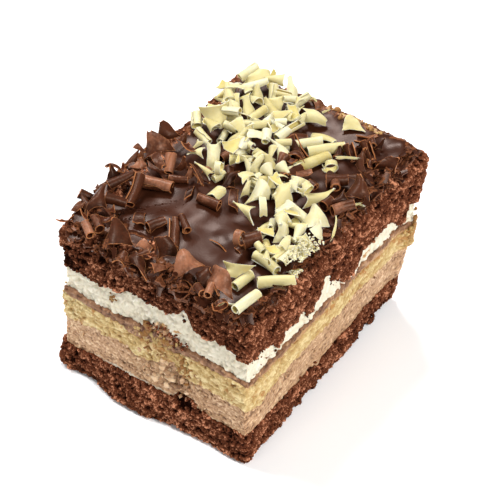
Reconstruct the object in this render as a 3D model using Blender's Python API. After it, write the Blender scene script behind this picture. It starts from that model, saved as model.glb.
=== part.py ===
"""Nut cake: one cut portion of a layered tray cake, standing on its base sponge.

Metres, +Z up. The origin is in the middle of the base's footprint, on the surface that it stands on,
and +X runs along the longer cut side. Each layer is one closed solid between two shared level surfaces,
bounded by four cut faces that lean a little, as a knife leaves them.
"""

import math

import bpy
import numpy as np

MM = 0.001

# Driving sizes, in millimetres.
CAKE_HEIGHT = 60.0  # top of the glaze, where the cut corners below are given
LAYER_GAP = 0.3  # clearance between touching solids
CORNER_PULL = 1.6  # how far the four upright edges are worn back
GRID = (14, 11)  # cells of a level surface, along the long and the short side

# Where the four upright cut edges meet the surface below and the top of the cake.
# Each name says where the corner lies: front is -Y and left is -X.
CORNERS_BELOW = {
    "front_left": (-43.0, -34.3),
    "front_right": (39.8, -31.2),
    "back_left": (-45.0, 35.8),
    "back_right": (41.9, 33.4),
}
CORNERS_ABOVE = {
    "front_left": (-43.3, -35.6),
    "front_right": (47.7, -35.3),
    "back_left": (-43.1, 32.1),
    "back_right": (47.3, 32.8),
}

# Level surfaces from the surface below upwards: the mean height, how much higher the left side lies
# than the right side, and the height of the soft waves on it.
LEVELS = {
    "floor": (0.0, 0.0, 0.0),
    "base_top": (12.9, 0.0, 0.35),
    "nut_top": (24.7, 0.2, 0.5),
    "yellow_top": (32.4, 0.6, 0.8),
    "cocoa_top": (36.8, 0.8, 0.4),
    "white_top": (45.2, 2.8, 0.8),
    "sponge_top": (57.6, 0.0, 0.5),
}

# Each layer: its level below, its level above, how far its sides are set back from the cut, how far they
# swell in the middle of its thickness, the rows of faces up its sides, its colour and its roughness.
LAYERS = {
    "base_sponge": ("floor", "base_top", 0.0, 0.5, 3, (0.105, 0.034, 0.018), 0.9),
    "nut_cream": ("base_top", "nut_top", 0.5, 0.2, 2, (0.50, 0.29, 0.16), 0.6),
    "yellow_sponge": ("nut_top", "yellow_top", 0.4, 0.3, 2, (0.72, 0.50, 0.17), 0.85),
    "cocoa_cream": ("yellow_top", "cocoa_top", 0.3, 0.1, 1, (0.20, 0.09, 0.055), 0.6),
    "white_cream": ("cocoa_top", "white_top", 0.9, 0.2, 2, (0.80, 0.71, 0.56), 0.55),
    "top_sponge": ("white_top", "sponge_top", 0.1, 0.6, 3, (0.115, 0.036, 0.019), 0.9),
}

# The glaze: how far its edge is broken back from the cut, how much further at the back left corner, where
# it broke off, the pitch and height of the rounded ridges that it was spread in, and its finer grid.
GLAZE = {
    "inset": 2.0,
    "corner_break": 6.5,
    "pitch": 14.5,
    "wave": 1.1,
    "grid": (18, 22),
    "colour": (0.065, 0.028, 0.018),
    "roughness": 0.25,
}

# Heaps of shavings on the glaze: the middle line's three points, the half width at its start and end,
# the height of the heap and of its edge, and its cells along and across.
# The shavings lie loose, so each outline and top is uneven.
WHITE_CHOCOLATE = (0.83, 0.72, 0.40)
MILK_CHOCOLATE = (0.17, 0.07, 0.042)
HEAPS = {
    "white_shavings": {
        "line": ((-11.0, -31.0), (9.0, -3.0), (32.0, 30.0)),
        "half_widths": (14.0, 16.0),
        "heights": (6.5, 2.2),
        "cells": (14, 8),
        "colour": WHITE_CHOCOLATE,
    },
    "milk_shavings_left": {
        "line": ((-36.5, -26.0), (-35.5, -8.0), (-35.0, 11.0)),
        "half_widths": (4.0, 5.0),
        "heights": (4.5, 1.8),
        "cells": (9, 4),
        "colour": MILK_CHOCOLATE,
    },
    "milk_shavings_back": {
        "line": ((-35.0, 21.5), (-16.0, 23.0), (5.0, 26.5)),
        "half_widths": (8.5, 6.0),
        "heights": (6.5, 2.0),
        "cells": (10, 5),
        "colour": MILK_CHOCOLATE,
    },
    "milk_shavings_right": {
        "line": ((15.0, -27.0), (28.0, -20.0), (42.0, -15.0)),
        "half_widths": (5.0, 8.0),
        "heights": (5.5, 2.0),
        "cells": (9, 5),
        "colour": MILK_CHOCOLATE,
    },
}
HEAP_LIMITS = (44.5, 32.5)  # how far from the middle the heaps reach, along X and along Y
HEAP_FREE = 0.86  # the share of that reach inside which nothing holds them in
HEAP_CLEARANCE = 0.6  # from the glaze's ridges to the underside of a heap
MEAN_HALF = (45.3, 33.9)  # half the length and half the width of the cake's top


def clear_scene():
    """An empty scene, whatever was open before."""
    for thing in list(bpy.data.objects):
        bpy.data.objects.remove(thing, do_unlink=True)


def material(name, colour, roughness):
    """A plain Principled material."""
    made = bpy.data.materials.new(name)
    made.use_nodes = True
    shader = made.node_tree.nodes["Principled BSDF"]
    shader.inputs["Base Color"].default_value = (*colour, 1.0)
    shader.inputs["Roughness"].default_value = roughness
    shader.inputs["Metallic"].default_value = 0.0
    made.diffuse_color = (*colour, 1.0)
    return made


def corner_blend(corners, u, v, axis):
    """The four corners' X or Y, blended over u and v, which run from -1 to 1."""
    left = (1 - v) / 2 * corners["front_left"][axis] + (1 + v) / 2 * corners["back_left"][axis]
    right = (1 - v) / 2 * corners["front_right"][axis] + (1 + v) / 2 * corners["back_right"][axis]
    return (1 - u) / 2 * left + (1 + u) / 2 * right


def cut_wave(s, z, phase):
    """How far a cut face stands out, in mm, at s along it (-1 to 1) and z up it: two soft waves."""
    return 0.35 * np.sin(5.1 * s + 0.09 * z + phase) + 0.25 * np.sin(11.3 * s - 0.13 * z + 2.1 * phase)


def base_belly(v, z):
    """The base sponge swells out low in the middle of the left face, as it was pressed when cut."""
    return 3.0 * np.exp(-(((v - 0.22) / 0.36) ** 4)) * np.exp(-((z / 7.0) ** 2))


def plan_point(u, v, z, inset):
    """X and Y in mm of the point (u, v) of a level at height z, with its edge set back by inset."""
    height_share = z / CAKE_HEIGHT
    x = corner_blend(CORNERS_BELOW, u, v, 0) * (1 - height_share)
    x = x + corner_blend(CORNERS_ABOVE, u, v, 0) * height_share
    y = corner_blend(CORNERS_BELOW, u, v, 1) * (1 - height_share)
    y = y + corner_blend(CORNERS_ABOVE, u, v, 1) * height_share
    # Near an edge the point follows that face's waves, and near a corner it is pulled back.
    near_x, near_y = np.abs(u) ** 6, np.abs(v) ** 6
    pull = CORNER_PULL * near_x * near_y
    out_left = cut_wave(v, z, 0.4) + base_belly(v, z)
    out_right = cut_wave(v, z, 2.9)
    out_front = cut_wave(u, z, 1.7)
    out_back = cut_wave(u, z, 4.3)
    out_x = np.where(u < 0, out_left, out_right) - inset - pull
    out_y = np.where(v < 0, out_front, out_back) - inset - pull
    return x + np.sign(u) * near_x * out_x, y + np.sign(v) * near_y * out_y


def level_height(name, u, v):
    """Height in mm of a level surface at (u, v)."""
    mean, left_rise, wave = LEVELS[name]
    waves = np.sin(3.4 * u + 1.3 * mean) * np.cos(2.7 * v + 0.7 * mean) + 0.5 * np.sin(6.1 * v - 2.2 * u + mean)
    return mean - left_rise / 2 * u + wave * waves


def glaze_height(u, v):
    """Height in mm of the glaze's top: rounded ridges along X, a pitch apart, that swell and fade."""
    y = MEAN_HALF[1] * v
    ridges = np.abs(np.cos(math.pi * (y + 1.2 + 1.5 * np.sin(2.2 * u)) / GLAZE["pitch"]))
    swell = 0.6 + 0.4 * np.sin(3.9 * u + 1.4 * v + 0.8)
    return CAKE_HEIGHT - 0.8 + GLAZE["wave"] * swell * (ridges - 0.5)


def spaced(cells):
    """Values from -1 to 1 that lie closer together near the ends."""
    even = np.linspace(-1, 1, cells + 1)
    return 0.75 * even + 0.25 * np.sin(even * math.pi / 2)


def rim_indices(rows, columns):
    """Indices of a grid's outer points, anticlockwise seen from above, starting at its first point."""
    front = [(0, c) for c in range(columns)]
    right = [(r, columns - 1) for r in range(1, rows)]
    back = [(rows - 1, c) for c in range(columns - 2, -1, -1)]
    left = [(r, 0) for r in range(rows - 2, 0, -1)]
    return [r * columns + c for r, c in front + right + back + left]


def grid_faces(rows, columns, start, facing_up):
    """Quads of a grid whose points are numbered from start, row by row."""
    faces = []
    for r in range(rows - 1):
        for c in range(columns - 1):
            first = start + r * columns + c
            quad = (first, first + 1, first + columns + 1, first + columns)
            faces.append(quad if facing_up else quad[::-1])
    return faces


def closed_body(name, lower, upper, sides, shade):
    """One closed solid: a lower and an upper grid of points, and loops of points up its sides between them."""
    rows, columns = lower.shape[:2]
    rim = rim_indices(rows, columns)
    points = [lower.reshape(-1, 3), upper.reshape(-1, 3), *sides]
    count = rows * columns
    faces = grid_faces(rows, columns, 0, False) + grid_faces(rows, columns, count, True)
    loops = [rim]
    for k in range(len(sides)):
        loops.append([2 * count + k * len(rim) + i for i in range(len(rim))])
    loops.append([count + i for i in rim])
    for below, above in zip(loops, loops[1:]):
        for i in range(len(rim)):
            j = (i + 1) % len(rim)
            faces.append((below[i], below[j], above[j], above[i]))
    mesh = bpy.data.meshes.new(name)
    mesh.from_pydata((np.concatenate(points) * MM).tolist(), [], faces)
    mesh.validate()
    mesh.update()
    mesh.materials.append(shade)
    mesh.shade_smooth()
    mesh.set_sharp_from_angle(angle=math.radians(40))
    body = bpy.data.objects.new(name, mesh)
    bpy.context.scene.collection.objects.link(body)
    return body


def layer_body(name, height_below, height_above, inset, swell, side_rows, shade, grid=GRID):
    """A layer of the cake between two level surfaces, with its cut sides swelling a little.

    inset is in mm, or a function of u and v where the edge is set back unevenly.
    """
    u, v = np.meshgrid(spaced(grid[0]), spaced(grid[1]))
    inset = inset(u, v) if callable(inset) else inset + 0 * u
    z_below = height_below(u, v)
    z_above = height_above(u, v)
    lower = np.stack([*plan_point(u, v, z_below, inset), z_below], -1)
    upper = np.stack([*plan_point(u, v, z_above, inset), z_above], -1)
    rim = rim_indices(*u.shape)
    rim_u, rim_v = u.ravel()[rim], v.ravel()[rim]
    rim_below, rim_above = z_below.ravel()[rim], z_above.ravel()[rim]
    sides = []
    for k in range(1, side_rows):
        share = k / side_rows
        z = rim_below * (1 - share) + rim_above * share
        set_back = inset.ravel()[rim] - swell * math.sin(math.pi * share)
        sides.append(np.stack([*plan_point(rim_u, rim_v, z, set_back), z], -1))
    return closed_body(name, lower, upper, sides, shade)


def add_layers():
    """The six layers from the base sponge to the top sponge."""
    for name, (below, above, inset, swell, side_rows, colour, roughness) in LAYERS.items():
        gap_below = 0.0 if below == "floor" else LAYER_GAP / 2
        layer_body(
            name,
            lambda u, v: level_height(below, u, v) + gap_below,
            lambda u, v: level_height(above, u, v) - LAYER_GAP / 2,
            inset,
            swell,
            side_rows,
            material(name, colour, roughness),
        )


def glaze_inset(u, v):
    """How far the glaze's edge is set back in mm: unevenly, and most at the back left corner."""
    corner = np.clip((v - 0.25) / 0.5, 0, 1) * np.clip((-u - 0.55) / 0.3, 0, 1)
    ragged = 0.5 * np.sin(13 * v + 3 * u) + 0.5 * np.sin(17 * u - 5 * v)
    return GLAZE["inset"] + ragged + GLAZE["corner_break"] * corner


def add_glaze():
    """The chocolate glaze on the top sponge, broken back from the cut edges."""
    layer_body(
        "glaze",
        lambda u, v: level_height("sponge_top", u, v) + LAYER_GAP / 2,
        glaze_height,
        glaze_inset,
        0.0,
        1,
        material("glaze", GLAZE["colour"], GLAZE["roughness"]),
        GLAZE["grid"],
    )


def curve_point(line, t):
    """A point of the smooth curve through a heap's three points, and the direction across it."""
    start, middle, end = (np.array(p)[:, None, None] for p in line)
    pull = 2 * middle - (start + end) / 2
    point = (1 - t) ** 2 * start + 2 * t * (1 - t) * pull + t**2 * end
    heading = 2 * (1 - t) * (pull - start) + 2 * t * (end - pull)
    heading = heading / np.linalg.norm(heading, axis=0)
    return point, np.stack([-heading[1], heading[0]])


def held_in(value, reach):
    """value, eased so that it stays within reach of the middle."""
    free = HEAP_FREE * reach
    over = np.maximum(np.abs(value) - free, 0)
    eased = (reach - free) * (1 - np.exp(-over / (reach - free)))
    return np.sign(value) * (np.minimum(np.abs(value), free) + eased)


def add_heap(name, heap):
    """A loose heap of shavings: a strip along its middle line, with an uneven outline and top."""
    along, across = heap["cells"]
    t, b = np.meshgrid(np.linspace(0, 1, along + 1), np.linspace(-1, 1, across + 1))
    middle, sideways = curve_point(heap["line"], t)
    start_width, end_width = heap["half_widths"]
    from_middle = 2 * np.abs(t - 0.5)
    half_width = start_width * (1 - t) + end_width * t
    half_width = half_width * (1 + 0.08 * np.sin(17 * t + 2 * b) + 0.05 * np.sin(31 * t))
    half_width = half_width * (1 - 0.45 * from_middle**6)
    x, y = middle + sideways * half_width * b
    x, y = held_in(x, HEAP_LIMITS[0]), held_in(y, HEAP_LIMITS[1])
    ground = glaze_height(x / MEAN_HALF[0], y / MEAN_HALF[1])
    tall, edge = heap["heights"]
    rise = (1 - b**4) * (1 - from_middle**8)
    bumps = 0.82 + 0.18 * np.sin(23 * t + 3 * b) * np.cos(4.3 * b + 9 * t)
    lower = np.stack([x, y, ground + HEAP_CLEARANCE], -1)
    upper = np.stack([x, y, ground + edge + (tall - edge) * rise * bumps], -1)
    closed_body(name, lower, upper, [], material(name, heap["colour"], 0.5))


def main():
    clear_scene()
    add_layers()
    add_glaze()
    for name, heap in HEAPS.items():
        add_heap(name, heap)


main()
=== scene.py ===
import itertools
import math

import bpy
import numpy as np
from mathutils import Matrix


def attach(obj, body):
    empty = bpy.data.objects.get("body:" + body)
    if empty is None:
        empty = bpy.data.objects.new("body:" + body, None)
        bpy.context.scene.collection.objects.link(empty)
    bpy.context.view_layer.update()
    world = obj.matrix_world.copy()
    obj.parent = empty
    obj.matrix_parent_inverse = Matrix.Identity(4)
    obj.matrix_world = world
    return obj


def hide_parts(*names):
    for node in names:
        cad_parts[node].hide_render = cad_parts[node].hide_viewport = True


# Nut cake: the cut layers, the glaze, and the shavings and crumbs on it.
# Sizes are in millimetres, and become metres when a mesh is made. Angles are in degrees.
# A point on the cut faces is found from the distance along the outline, counted anticlockwise from the
# front left corner: front face, right end, back, left face. Edges of layers are given on the two faces that
# show, the front face from its left end and the left face from its back end.

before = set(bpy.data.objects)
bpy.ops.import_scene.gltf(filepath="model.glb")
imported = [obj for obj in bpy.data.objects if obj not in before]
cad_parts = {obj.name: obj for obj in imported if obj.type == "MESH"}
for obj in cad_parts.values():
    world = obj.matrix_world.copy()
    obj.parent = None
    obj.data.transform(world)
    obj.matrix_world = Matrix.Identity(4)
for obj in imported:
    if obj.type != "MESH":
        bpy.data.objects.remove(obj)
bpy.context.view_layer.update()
mm = 0.001
print("frame loaded")


# Noise, as whole arrays.
cellCorners = [(i, j, k) for i in (0, 1) for j in (0, 1) for k in (0, 1)]
cellNeighbours = [(i, j, k) for i in (-1, 0, 1) for j in (-1, 0, 1) for k in (-1, 0, 1)]


def scrambled(x, y, z, seed):
    # a number from 0 to 1 for each whole-number cell: its three indices are multiplied, mixed and wrapped
    n = x.astype(np.int64) * 374761393 + y.astype(np.int64) * 668265263 + z.astype(np.int64) * 2147483629
    n = (n + seed * 1013904223) & 0xFFFFFFFF
    n = ((n ^ (n >> 13)) * 1274126177) & 0xFFFFFFFF
    n = ((n ^ (n >> 16)) * 2246822519) & 0xFFFFFFFF
    return (n ^ (n >> 15)) / 4294967295.0


def softNoise(points, size, seed):
    # value noise from -1 to 1: the eight corners of each cell, blended with a smooth step along each axis
    scaled = points / size
    cell = np.floor(scaled)
    part = scaled - cell
    part = part * part * (3 - 2 * part)
    total = 0.0
    for i, j, k in cellCorners:
        weight = abs(1 - i - part[..., 0]) * abs(1 - j - part[..., 1]) * abs(1 - k - part[..., 2])
        total = total + weight * scrambled(cell[..., 0] + i, cell[..., 1] + j, cell[..., 2] + k, seed)
    return 2 * total - 1


def layeredNoise(points, size, seed, octaves=3):
    # soft noise added up, each time half as large and half as strong
    total, strength = 0.0, 1.0
    for octave in range(octaves):
        total = total + strength * softNoise(points, size / 2**octave, seed + 17 * octave)
        strength *= 0.5
    return total / 1.75  # what the strengths of three octaves add up to


def wobbled(points, size, amount, seed):
    # the points, each moved by a soft noise of its own along X, Y and Z
    return points + amount * np.stack([softNoise(points, size, seed + k) for k in range(3)], -1)


def cellNoise(points, size, seed):
    # one seeded point in each cell: the distance to the nearest one and to the next, in cells, and the
    # nearest one's own number from 0 to 1
    scaled = points / size
    cell = np.floor(scaled)
    nearest = np.full(points.shape[:-1], 9.0)
    second = nearest.copy()
    number = np.zeros(points.shape[:-1])
    for i, j, k in cellNeighbours:
        place = cell[..., 0] + i, cell[..., 1] + j, cell[..., 2] + k
        gaps = [place[axis] + scrambled(*place, seed + axis) - scaled[..., axis] for axis in range(3)]
        far = np.sqrt(gaps[0] ** 2 + gaps[1] ** 2 + gaps[2] ** 2)
        closer = far < nearest
        second = np.where(closer, nearest, np.minimum(second, far))
        number = np.where(closer, scrambled(*place, seed + 3), number)
        nearest = np.where(closer, far, nearest)
    return nearest, second, number


def smoothStep(low, high, value):
    # 0 at low and 1 at high, with a soft start and end between them
    share = np.clip((value - low) / (high - low), 0, 1)
    return share * share * (3 - 2 * share)


def putObject(name, data):
    thing = bpy.data.objects.new(name, data)
    bpy.context.scene.collection.objects.link(thing)
    return thing


def newPiece(name, points, faces, material, nodes, attributes, uv=None, sharp=None):
    # a smooth mesh object from points in mm, faces as an array or a list, and values held on its points
    mesh = bpy.data.meshes.new(name)
    mesh.from_pydata((points * mm).tolist(), [], faces if isinstance(faces, list) else faces.tolist())
    mesh.update()
    for label, values in attributes.items():
        layer = mesh.attributes.new(label, "FLOAT", "POINT")
        layer.data.foreach_set("value", np.ascontiguousarray(values, np.float32).ravel())
    if uv is not None:
        corners = np.empty(len(mesh.loops), np.int32)
        mesh.loops.foreach_get("vertex_index", corners)
        layer = mesh.uv_layers.new(name="UVMap")
        layer.data.foreach_set("uv", uv[corners].astype(np.float32).ravel())
    mesh.materials.append(material)
    mesh.shade_smooth()
    if sharp:
        mesh.set_sharp_from_angle(angle=math.radians(sharp))
    piece = putObject(name, mesh)
    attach(piece, "root")
    if nodes:
        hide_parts(*nodes)
    print(name, "points", len(points), "faces", len(mesh.polygons))


def ringFaces(rows, columns):
    # quads between the rows of a grid that closes on itself along each row
    here = np.arange(rows * columns).reshape(rows, columns)
    nextOne = np.roll(here, -1, axis=1)
    return np.stack([here[:-1], nextOne[:-1], nextOne[1:], here[1:]], -1).reshape(-1, 4)


# The cut block.
block = {
    "sides": (90.0, 68.0, 90.0, 68.0),  # lengths of the front, right end, back and left faces
    "cornerOut": 1.5,                   # the outline's true corners stand this far outside the worn ones
    "cornerSoft": 0.9,                  # how far the corners are worn round
    "knotSoft": 0.4,                    # how far a value given as knots is softened
    "topAt": 57.6,                      # height where the upper corners are read
}


def nodePoints(node):
    # the points of one CAD node, in mm
    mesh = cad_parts[node].data
    flat = np.empty(len(mesh.vertices) * 3, np.float32)
    mesh.vertices.foreach_get("co", flat)
    return flat.reshape(-1, 3).astype(float) / mm


def blockCorners(node, low, high):
    # the node's points between two heights that lie furthest out along the four diagonals, moved out to the
    # true corners
    points = nodePoints(node)
    points = points[(points[:, 2] > low) & (points[:, 2] < high), :2]
    corners = []
    for across, along in ((-1, -1), (1, -1), (1, 1), (-1, 1)):
        furthest = points[np.argmax(points[:, 0] * across + points[:, 1] * along)]
        corners.append(furthest + block["cornerOut"] * np.array([across, along]))
    return np.array(corners)


cornersBelow = blockCorners("base_sponge", -1, 0.5)
cornersAbove = blockCorners("top_sponge", 56, 62)
sideStarts = np.concatenate([[0], np.cumsum(block["sides"])])
aroundAll = sideStarts[-1]
left = sideStarts[3]  # where the left face starts, at its back end


def columnPlaces(columns):
    # the distance along the outline of each column
    return np.arange(columns) * aroundAll / columns


def softened(values, width):
    # values on a closed row of points, averaged with a bell curve whose half width is given in points
    waves = np.fft.rfftfreq(values.shape[1])[:, None]
    damp = np.exp(-2 * (math.pi * waves * width) ** 2)
    return np.fft.irfft(np.fft.rfft(values, axis=1) * damp, n=values.shape[1], axis=1)


def outline(heights):
    # X and Y of the cut faces at each height of a grid of (rows, columns), and the direction straight out of
    # the face: each side runs straight between two corners, which lean from the lower corner to the upper
    # one, and then the row is smoothed, which wears the corners round
    columns = heights.shape[1]
    around = columnPlaces(columns)
    side = np.searchsorted(sideStarts, around, side="right") - 1
    share = ((around - sideStarts[side]) / np.array(block["sides"])[side])[None, :, None]
    lean = (heights / block["topAt"])[..., None]
    first = cornersBelow[side] + (cornersAbove - cornersBelow)[side] * lean
    following = (side + 1) % 4
    last = cornersBelow[following] + (cornersAbove - cornersBelow)[following] * lean
    place = softened(first * (1 - share) + last * share, block["cornerSoft"] * columns / aroundAll)
    along = np.roll(place, -2, axis=1) - np.roll(place, 2, axis=1)
    along = along / np.linalg.norm(along, axis=-1, keepdims=True)
    return place, np.stack([along[..., 1], -along[..., 0]], -1)


def aroundValues(knots, columns):
    # a value at each column: the knots of the front and the left face, joined by straight lines, which run
    # on round the hidden faces, and softened
    places, values = zip(*knots["front"], *((left + s, value) for s, value in knots["left"]))
    joined = np.interp(columnPlaces(columns), places, values, period=aroundAll)
    return softened(joined[None, :, None], block["knotSoft"] * columns / aroundAll)[0, :, 0]


# Heights of the layers' edges. ragged is how far each edge wanders from its line.
levels = {
    "floor": {"front": ((0, 0), (90, 0)), "left": ((0, 0), (68, 0)), "ragged": 0.0},
    "baseTop": {
        "front": (
            (2, 13.5), (8, 13), (16, 11), (22, 11.5), (28, 10.5), (34, 10), (37, 12), (39, 10), (41, 8.5),
            (43, 11.5), (49, 11.5), (55, 11), (63, 10.5), (66, 11.5), (73, 10), (78, 10.5), (84, 11),
            (90, 12.5),
        ),
        "left": (
            (0, 10.5), (5, 10), (11, 11.5), (19, 11), (24, 11.5), (29, 12.5), (34, 13), (39, 12),
            (41.5, 12.5), (43, 15.5), (44.5, 14.5), (49, 15.5), (50.5, 13), (53.5, 13.5), (56, 12),
            (63, 13.5), (68, 13.5),
        ),
        "ragged": 0.5,
    },
    "nutTop": {
        "front": (
            (3, 23.5), (7, 22), (11, 23), (16, 23.5), (21, 23.5), (26, 25), (31, 25.5), (42, 24.5), (48, 25),
            (55, 24), (64, 24.5), (71, 24.5), (78, 23), (83, 25), (90, 25),
        ),
        "left": (
            (0, 22.5), (8, 23), (13.5, 25), (17, 24), (18.5, 25.5), (23.5, 24.5), (28.5, 23.5), (32.5, 24),
            (36, 25.5), (38, 27.5), (43.5, 28), (45, 24), (48, 24), (53, 25), (58, 26), (63, 25.5), (67, 24),
        ),
        "ragged": 0.8,
    },
    "yellowTop": {
        "front": (
            (5, 32), (14.5, 32.5), (20, 31.5), (30, 33), (35, 33), (41, 32), (51.5, 32), (58, 31.5), (73, 32),
            (78, 31), (90, 31.5),
        ),
        "left": (
            (0, 32.5), (7, 32.5), (10, 31.5), (13, 32.5), (18, 33), (23, 32.5), (27, 31), (31, 31),
            (35, 32.5), (41, 32), (46, 33.5), (50, 34), (54, 34.5), (58, 35.3), (63, 35.5), (67, 34.5),
        ),
        "ragged": 0.7,
    },
    "cocoaTop": {
        "front": (
            (4, 34.5), (14, 35), (20, 34.5), (29.5, 35.5), (34, 36), (40, 35.5), (46, 34.5), (51, 35),
            (58, 34), (68, 34.5), (73.5, 35.5), (79, 35), (90, 34),
        ),
        "left": (
            (0, 34.5), (5, 35), (7.5, 34), (16, 35), (23, 35.5), (33, 36), (36, 37), (39, 38.5), (42, 38),
            (44, 36), (47.5, 36), (49.5, 37), (58, 37.5), (67, 36),
        ),
        "ragged": 0.2,
    },
    "whiteTop": {
        "front": (
            (1.5, 45.5), (5, 43), (11, 43.5), (13, 42.5), (14, 40), (15.5, 38.5), (17, 39.5), (18, 43),
            (20.5, 44), (22.5, 42), (24, 40.5), (25.5, 43.5), (28.5, 44.5), (30, 39.5), (31, 37), (32, 39),
            (34, 42.5), (36.5, 44.5), (37, 48), (39.5, 49), (41.5, 46.5), (43.5, 42.5), (46.5, 41.5),
            (48.5, 39.5), (50, 36.5), (57.5, 36), (58, 41), (58.5, 43), (64, 42.5), (69, 42), (72, 44.5),
            (75, 43), (78, 41), (81.5, 37), (83, 36), (83.6, 42.5), (87, 42.5), (90, 40.5),
        ),
        "left": (
            (0, 44.5), (7, 44.5), (9, 43.5), (15, 44), (17, 45.5), (22, 46), (23.5, 48), (27, 48), (30, 47.5),
            (31.5, 46), (34, 47.5), (40, 47.5), (42, 51), (44, 51), (45, 54), (47, 54), (48, 49.5),
            (49.5, 46.5), (53, 46.5), (60.5, 48.5), (62.5, 48), (64, 45.5), (65.5, 44.5), (68, 45),
        ),
        "ragged": 1.0,
    },
    "spongeTop": {
        "front": (
            (0, 57.9), (45, 58.4), (78, 58.4), (88, 59.2), (110, 59.6), (140, 59.2), (165, 58.6), (235, 59.0),
        ),
        "left": ((0, 58.6), (8, 57.9), (34, 58.0), (68, 57.8)),
        "ragged": 0.5,
    },
}


def levelLine(name, columns):
    # the level's height at each column: its knots, and ragged noise read along the outline
    level = levels[name]
    line = aroundValues(level, columns)
    if level["ragged"] == 0:
        return line
    place = outline(line[None, :])[0]
    points = np.concatenate([place[0], np.full((columns, 1), 7.0 * len(name))], 1)
    wander = layeredNoise(points, 4.5, 11) + 0.9 * layeredNoise(points, 1.6, 23)
    return line + level["ragged"] * wander


# The relief of each kind of filling: how far it stands out in mm, and its tone, from 0, deep, to 1, raised.
# The tone follows the relief: painted shade in holes, pits and grooves, painted light on raised crumbs and
# lumps.

def bumps(near, most=1.0, wide=0.8, top=1.0):
    # round domes about the points of a cell noise, which fall with the square of the distance and are cut
    # off level
    return np.clip(top - (near / wide) ** 2, 0, most)


def spongeRelief(points, seed):
    # soft swells and clumps, torn crumbs of two sizes, ridges of fine noise, open holes and pits, thin tears
    # between
    flat = wobbled(points * np.array([0.85, 0.85, 1.15]), 1.5, 0.6, seed + 2)
    flat = wobbled(flat, 0.55, 0.34, seed + 7)
    swell = layeredNoise(points, 6.0, seed, 2)
    clumps = layeredNoise(flat, 2.6, seed + 13, 2)
    near, after, number = cellNoise(flat, 1.55, seed + 31)
    crumbs = bumps(near, 0.8, 0.72, 1.1) * (0.3 + 0.7 * number)
    tears = np.exp(-(after - near) / 0.07)
    near, _, number = cellNoise(flat, 0.72, seed + 47)
    grains = bumps(near, 0.75, 0.75, 1.05) * (0.1 + 0.9 * number)
    ridges = 1 - 2 * np.abs(layeredNoise(flat, 1.1, seed + 53, 2))
    near, _, number = cellNoise(flat, 2.7, seed + 59)
    holes = smoothStep(0.45, 0.1, near) * (number < 0.55)
    out = 0.45 * swell + 0.65 * clumps + 0.5 * crumbs + 0.5 * grains + 0.6 * ridges - 1.5 * holes
    # The tone follows the relief: painted light on the raised clumps, crumbs, grains and ridges, painted
    # shade in the holes and tears.
    tone = 0.1 + 0.3 * clumps + 0.2 * crumbs + 0.6 * grains + 0.42 * ridges
    return out - 0.5 * tears, tone - 0.8 * holes - 0.4 * tears + 0.1 * swell


def fineSpongeRelief(points, seed):
    # small torn crumbs, dragged streaks, ridges of fine noise and a few pores
    swell = layeredNoise(points, 4.0, seed, 2)
    flat = wobbled(points * np.array([0.8, 0.8, 1.1]), 1.2, 0.6, seed + 2)
    near, _, number = cellNoise(flat, 0.95, seed + 31)
    crumbs = bumps(near, 0.85, 0.75, 1.1) * (0.1 + 0.9 * number)
    near, _, number = cellNoise(flat, 2.4, seed + 59)
    pits = smoothStep(0.36, 0.1, near) * (number < 0.5)
    ridges = 1 - 2 * np.abs(layeredNoise(flat, 1.8, seed + 53, 3))
    streaks = softNoise(points * np.array([0.2, 0.2, 1.0]), 0.8, seed + 5)
    out = 0.4 * swell + 0.55 * crumbs + 0.5 * ridges + 0.1 * streaks - 0.8 * pits
    # The tone follows the relief: painted light on the crumbs and ridges, painted shade in the pits.
    return out, 0.26 + 0.5 * crumbs + 0.4 * ridges + 0.2 * streaks + 0.3 * swell - 0.6 * pits


def nutCreamRelief(points, seed):
    # a dragged, soft surface: low streaks along the cut, small lumps and chopped grains, and a few holes
    swell = layeredNoise(points, 5.0, seed, 2)
    streaks = softNoise(points * np.array([0.14, 0.14, 1.0]), 0.7, seed + 5)
    wobble = wobbled(points, 0.8, 0.3, seed + 2)
    near, _, number = cellNoise(wobble, 0.85, seed + 31)
    lumps = bumps(near) * (number - 0.25)
    fine = softNoise(points, 0.5, seed + 53)
    near, _, number = cellNoise(points, 2.6, seed + 59)
    holes = smoothStep(0.26, 0.08, near) * (number < 0.35)
    out = 0.26 * swell + 0.08 * streaks + 0.3 * lumps + 0.14 * fine - 0.6 * holes
    # The tone follows the relief: painted light on the lumps, painted shade in the holes.
    return out, 0.46 + 0.24 * streaks + 0.55 * lumps - 0.7 * holes + 0.14 * swell + 0.45 * fine


def creamRelief(points, seed):
    # whipped cream, cut and torn: rounded lumps and small bumps, with short drags between them
    swell = layeredNoise(points, 4.5, seed, 2)
    wobble = wobbled(points, 1.3, 0.5, seed + 2)
    near, after, number = cellNoise(wobble, 1.9, seed + 31)
    lumps = bumps(near) * number
    gaps = np.exp(-(after - near) / 0.1)
    near, _, number = cellNoise(wobble, 0.95, seed + 41)
    small = bumps(near) * number
    streaks = softNoise(points * np.array([0.3, 0.3, 1.0]), 0.8, seed + 5)
    out = 0.6 * swell + 0.75 * lumps + 0.4 * small + 0.12 * streaks - 0.3 * gaps
    # The tone follows the relief: painted light on the lumps, painted shade in the grooves between them.
    return out, 0.48 + 0.3 * lumps + 0.24 * small - 0.35 * gaps + 0.2 * swell


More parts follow.
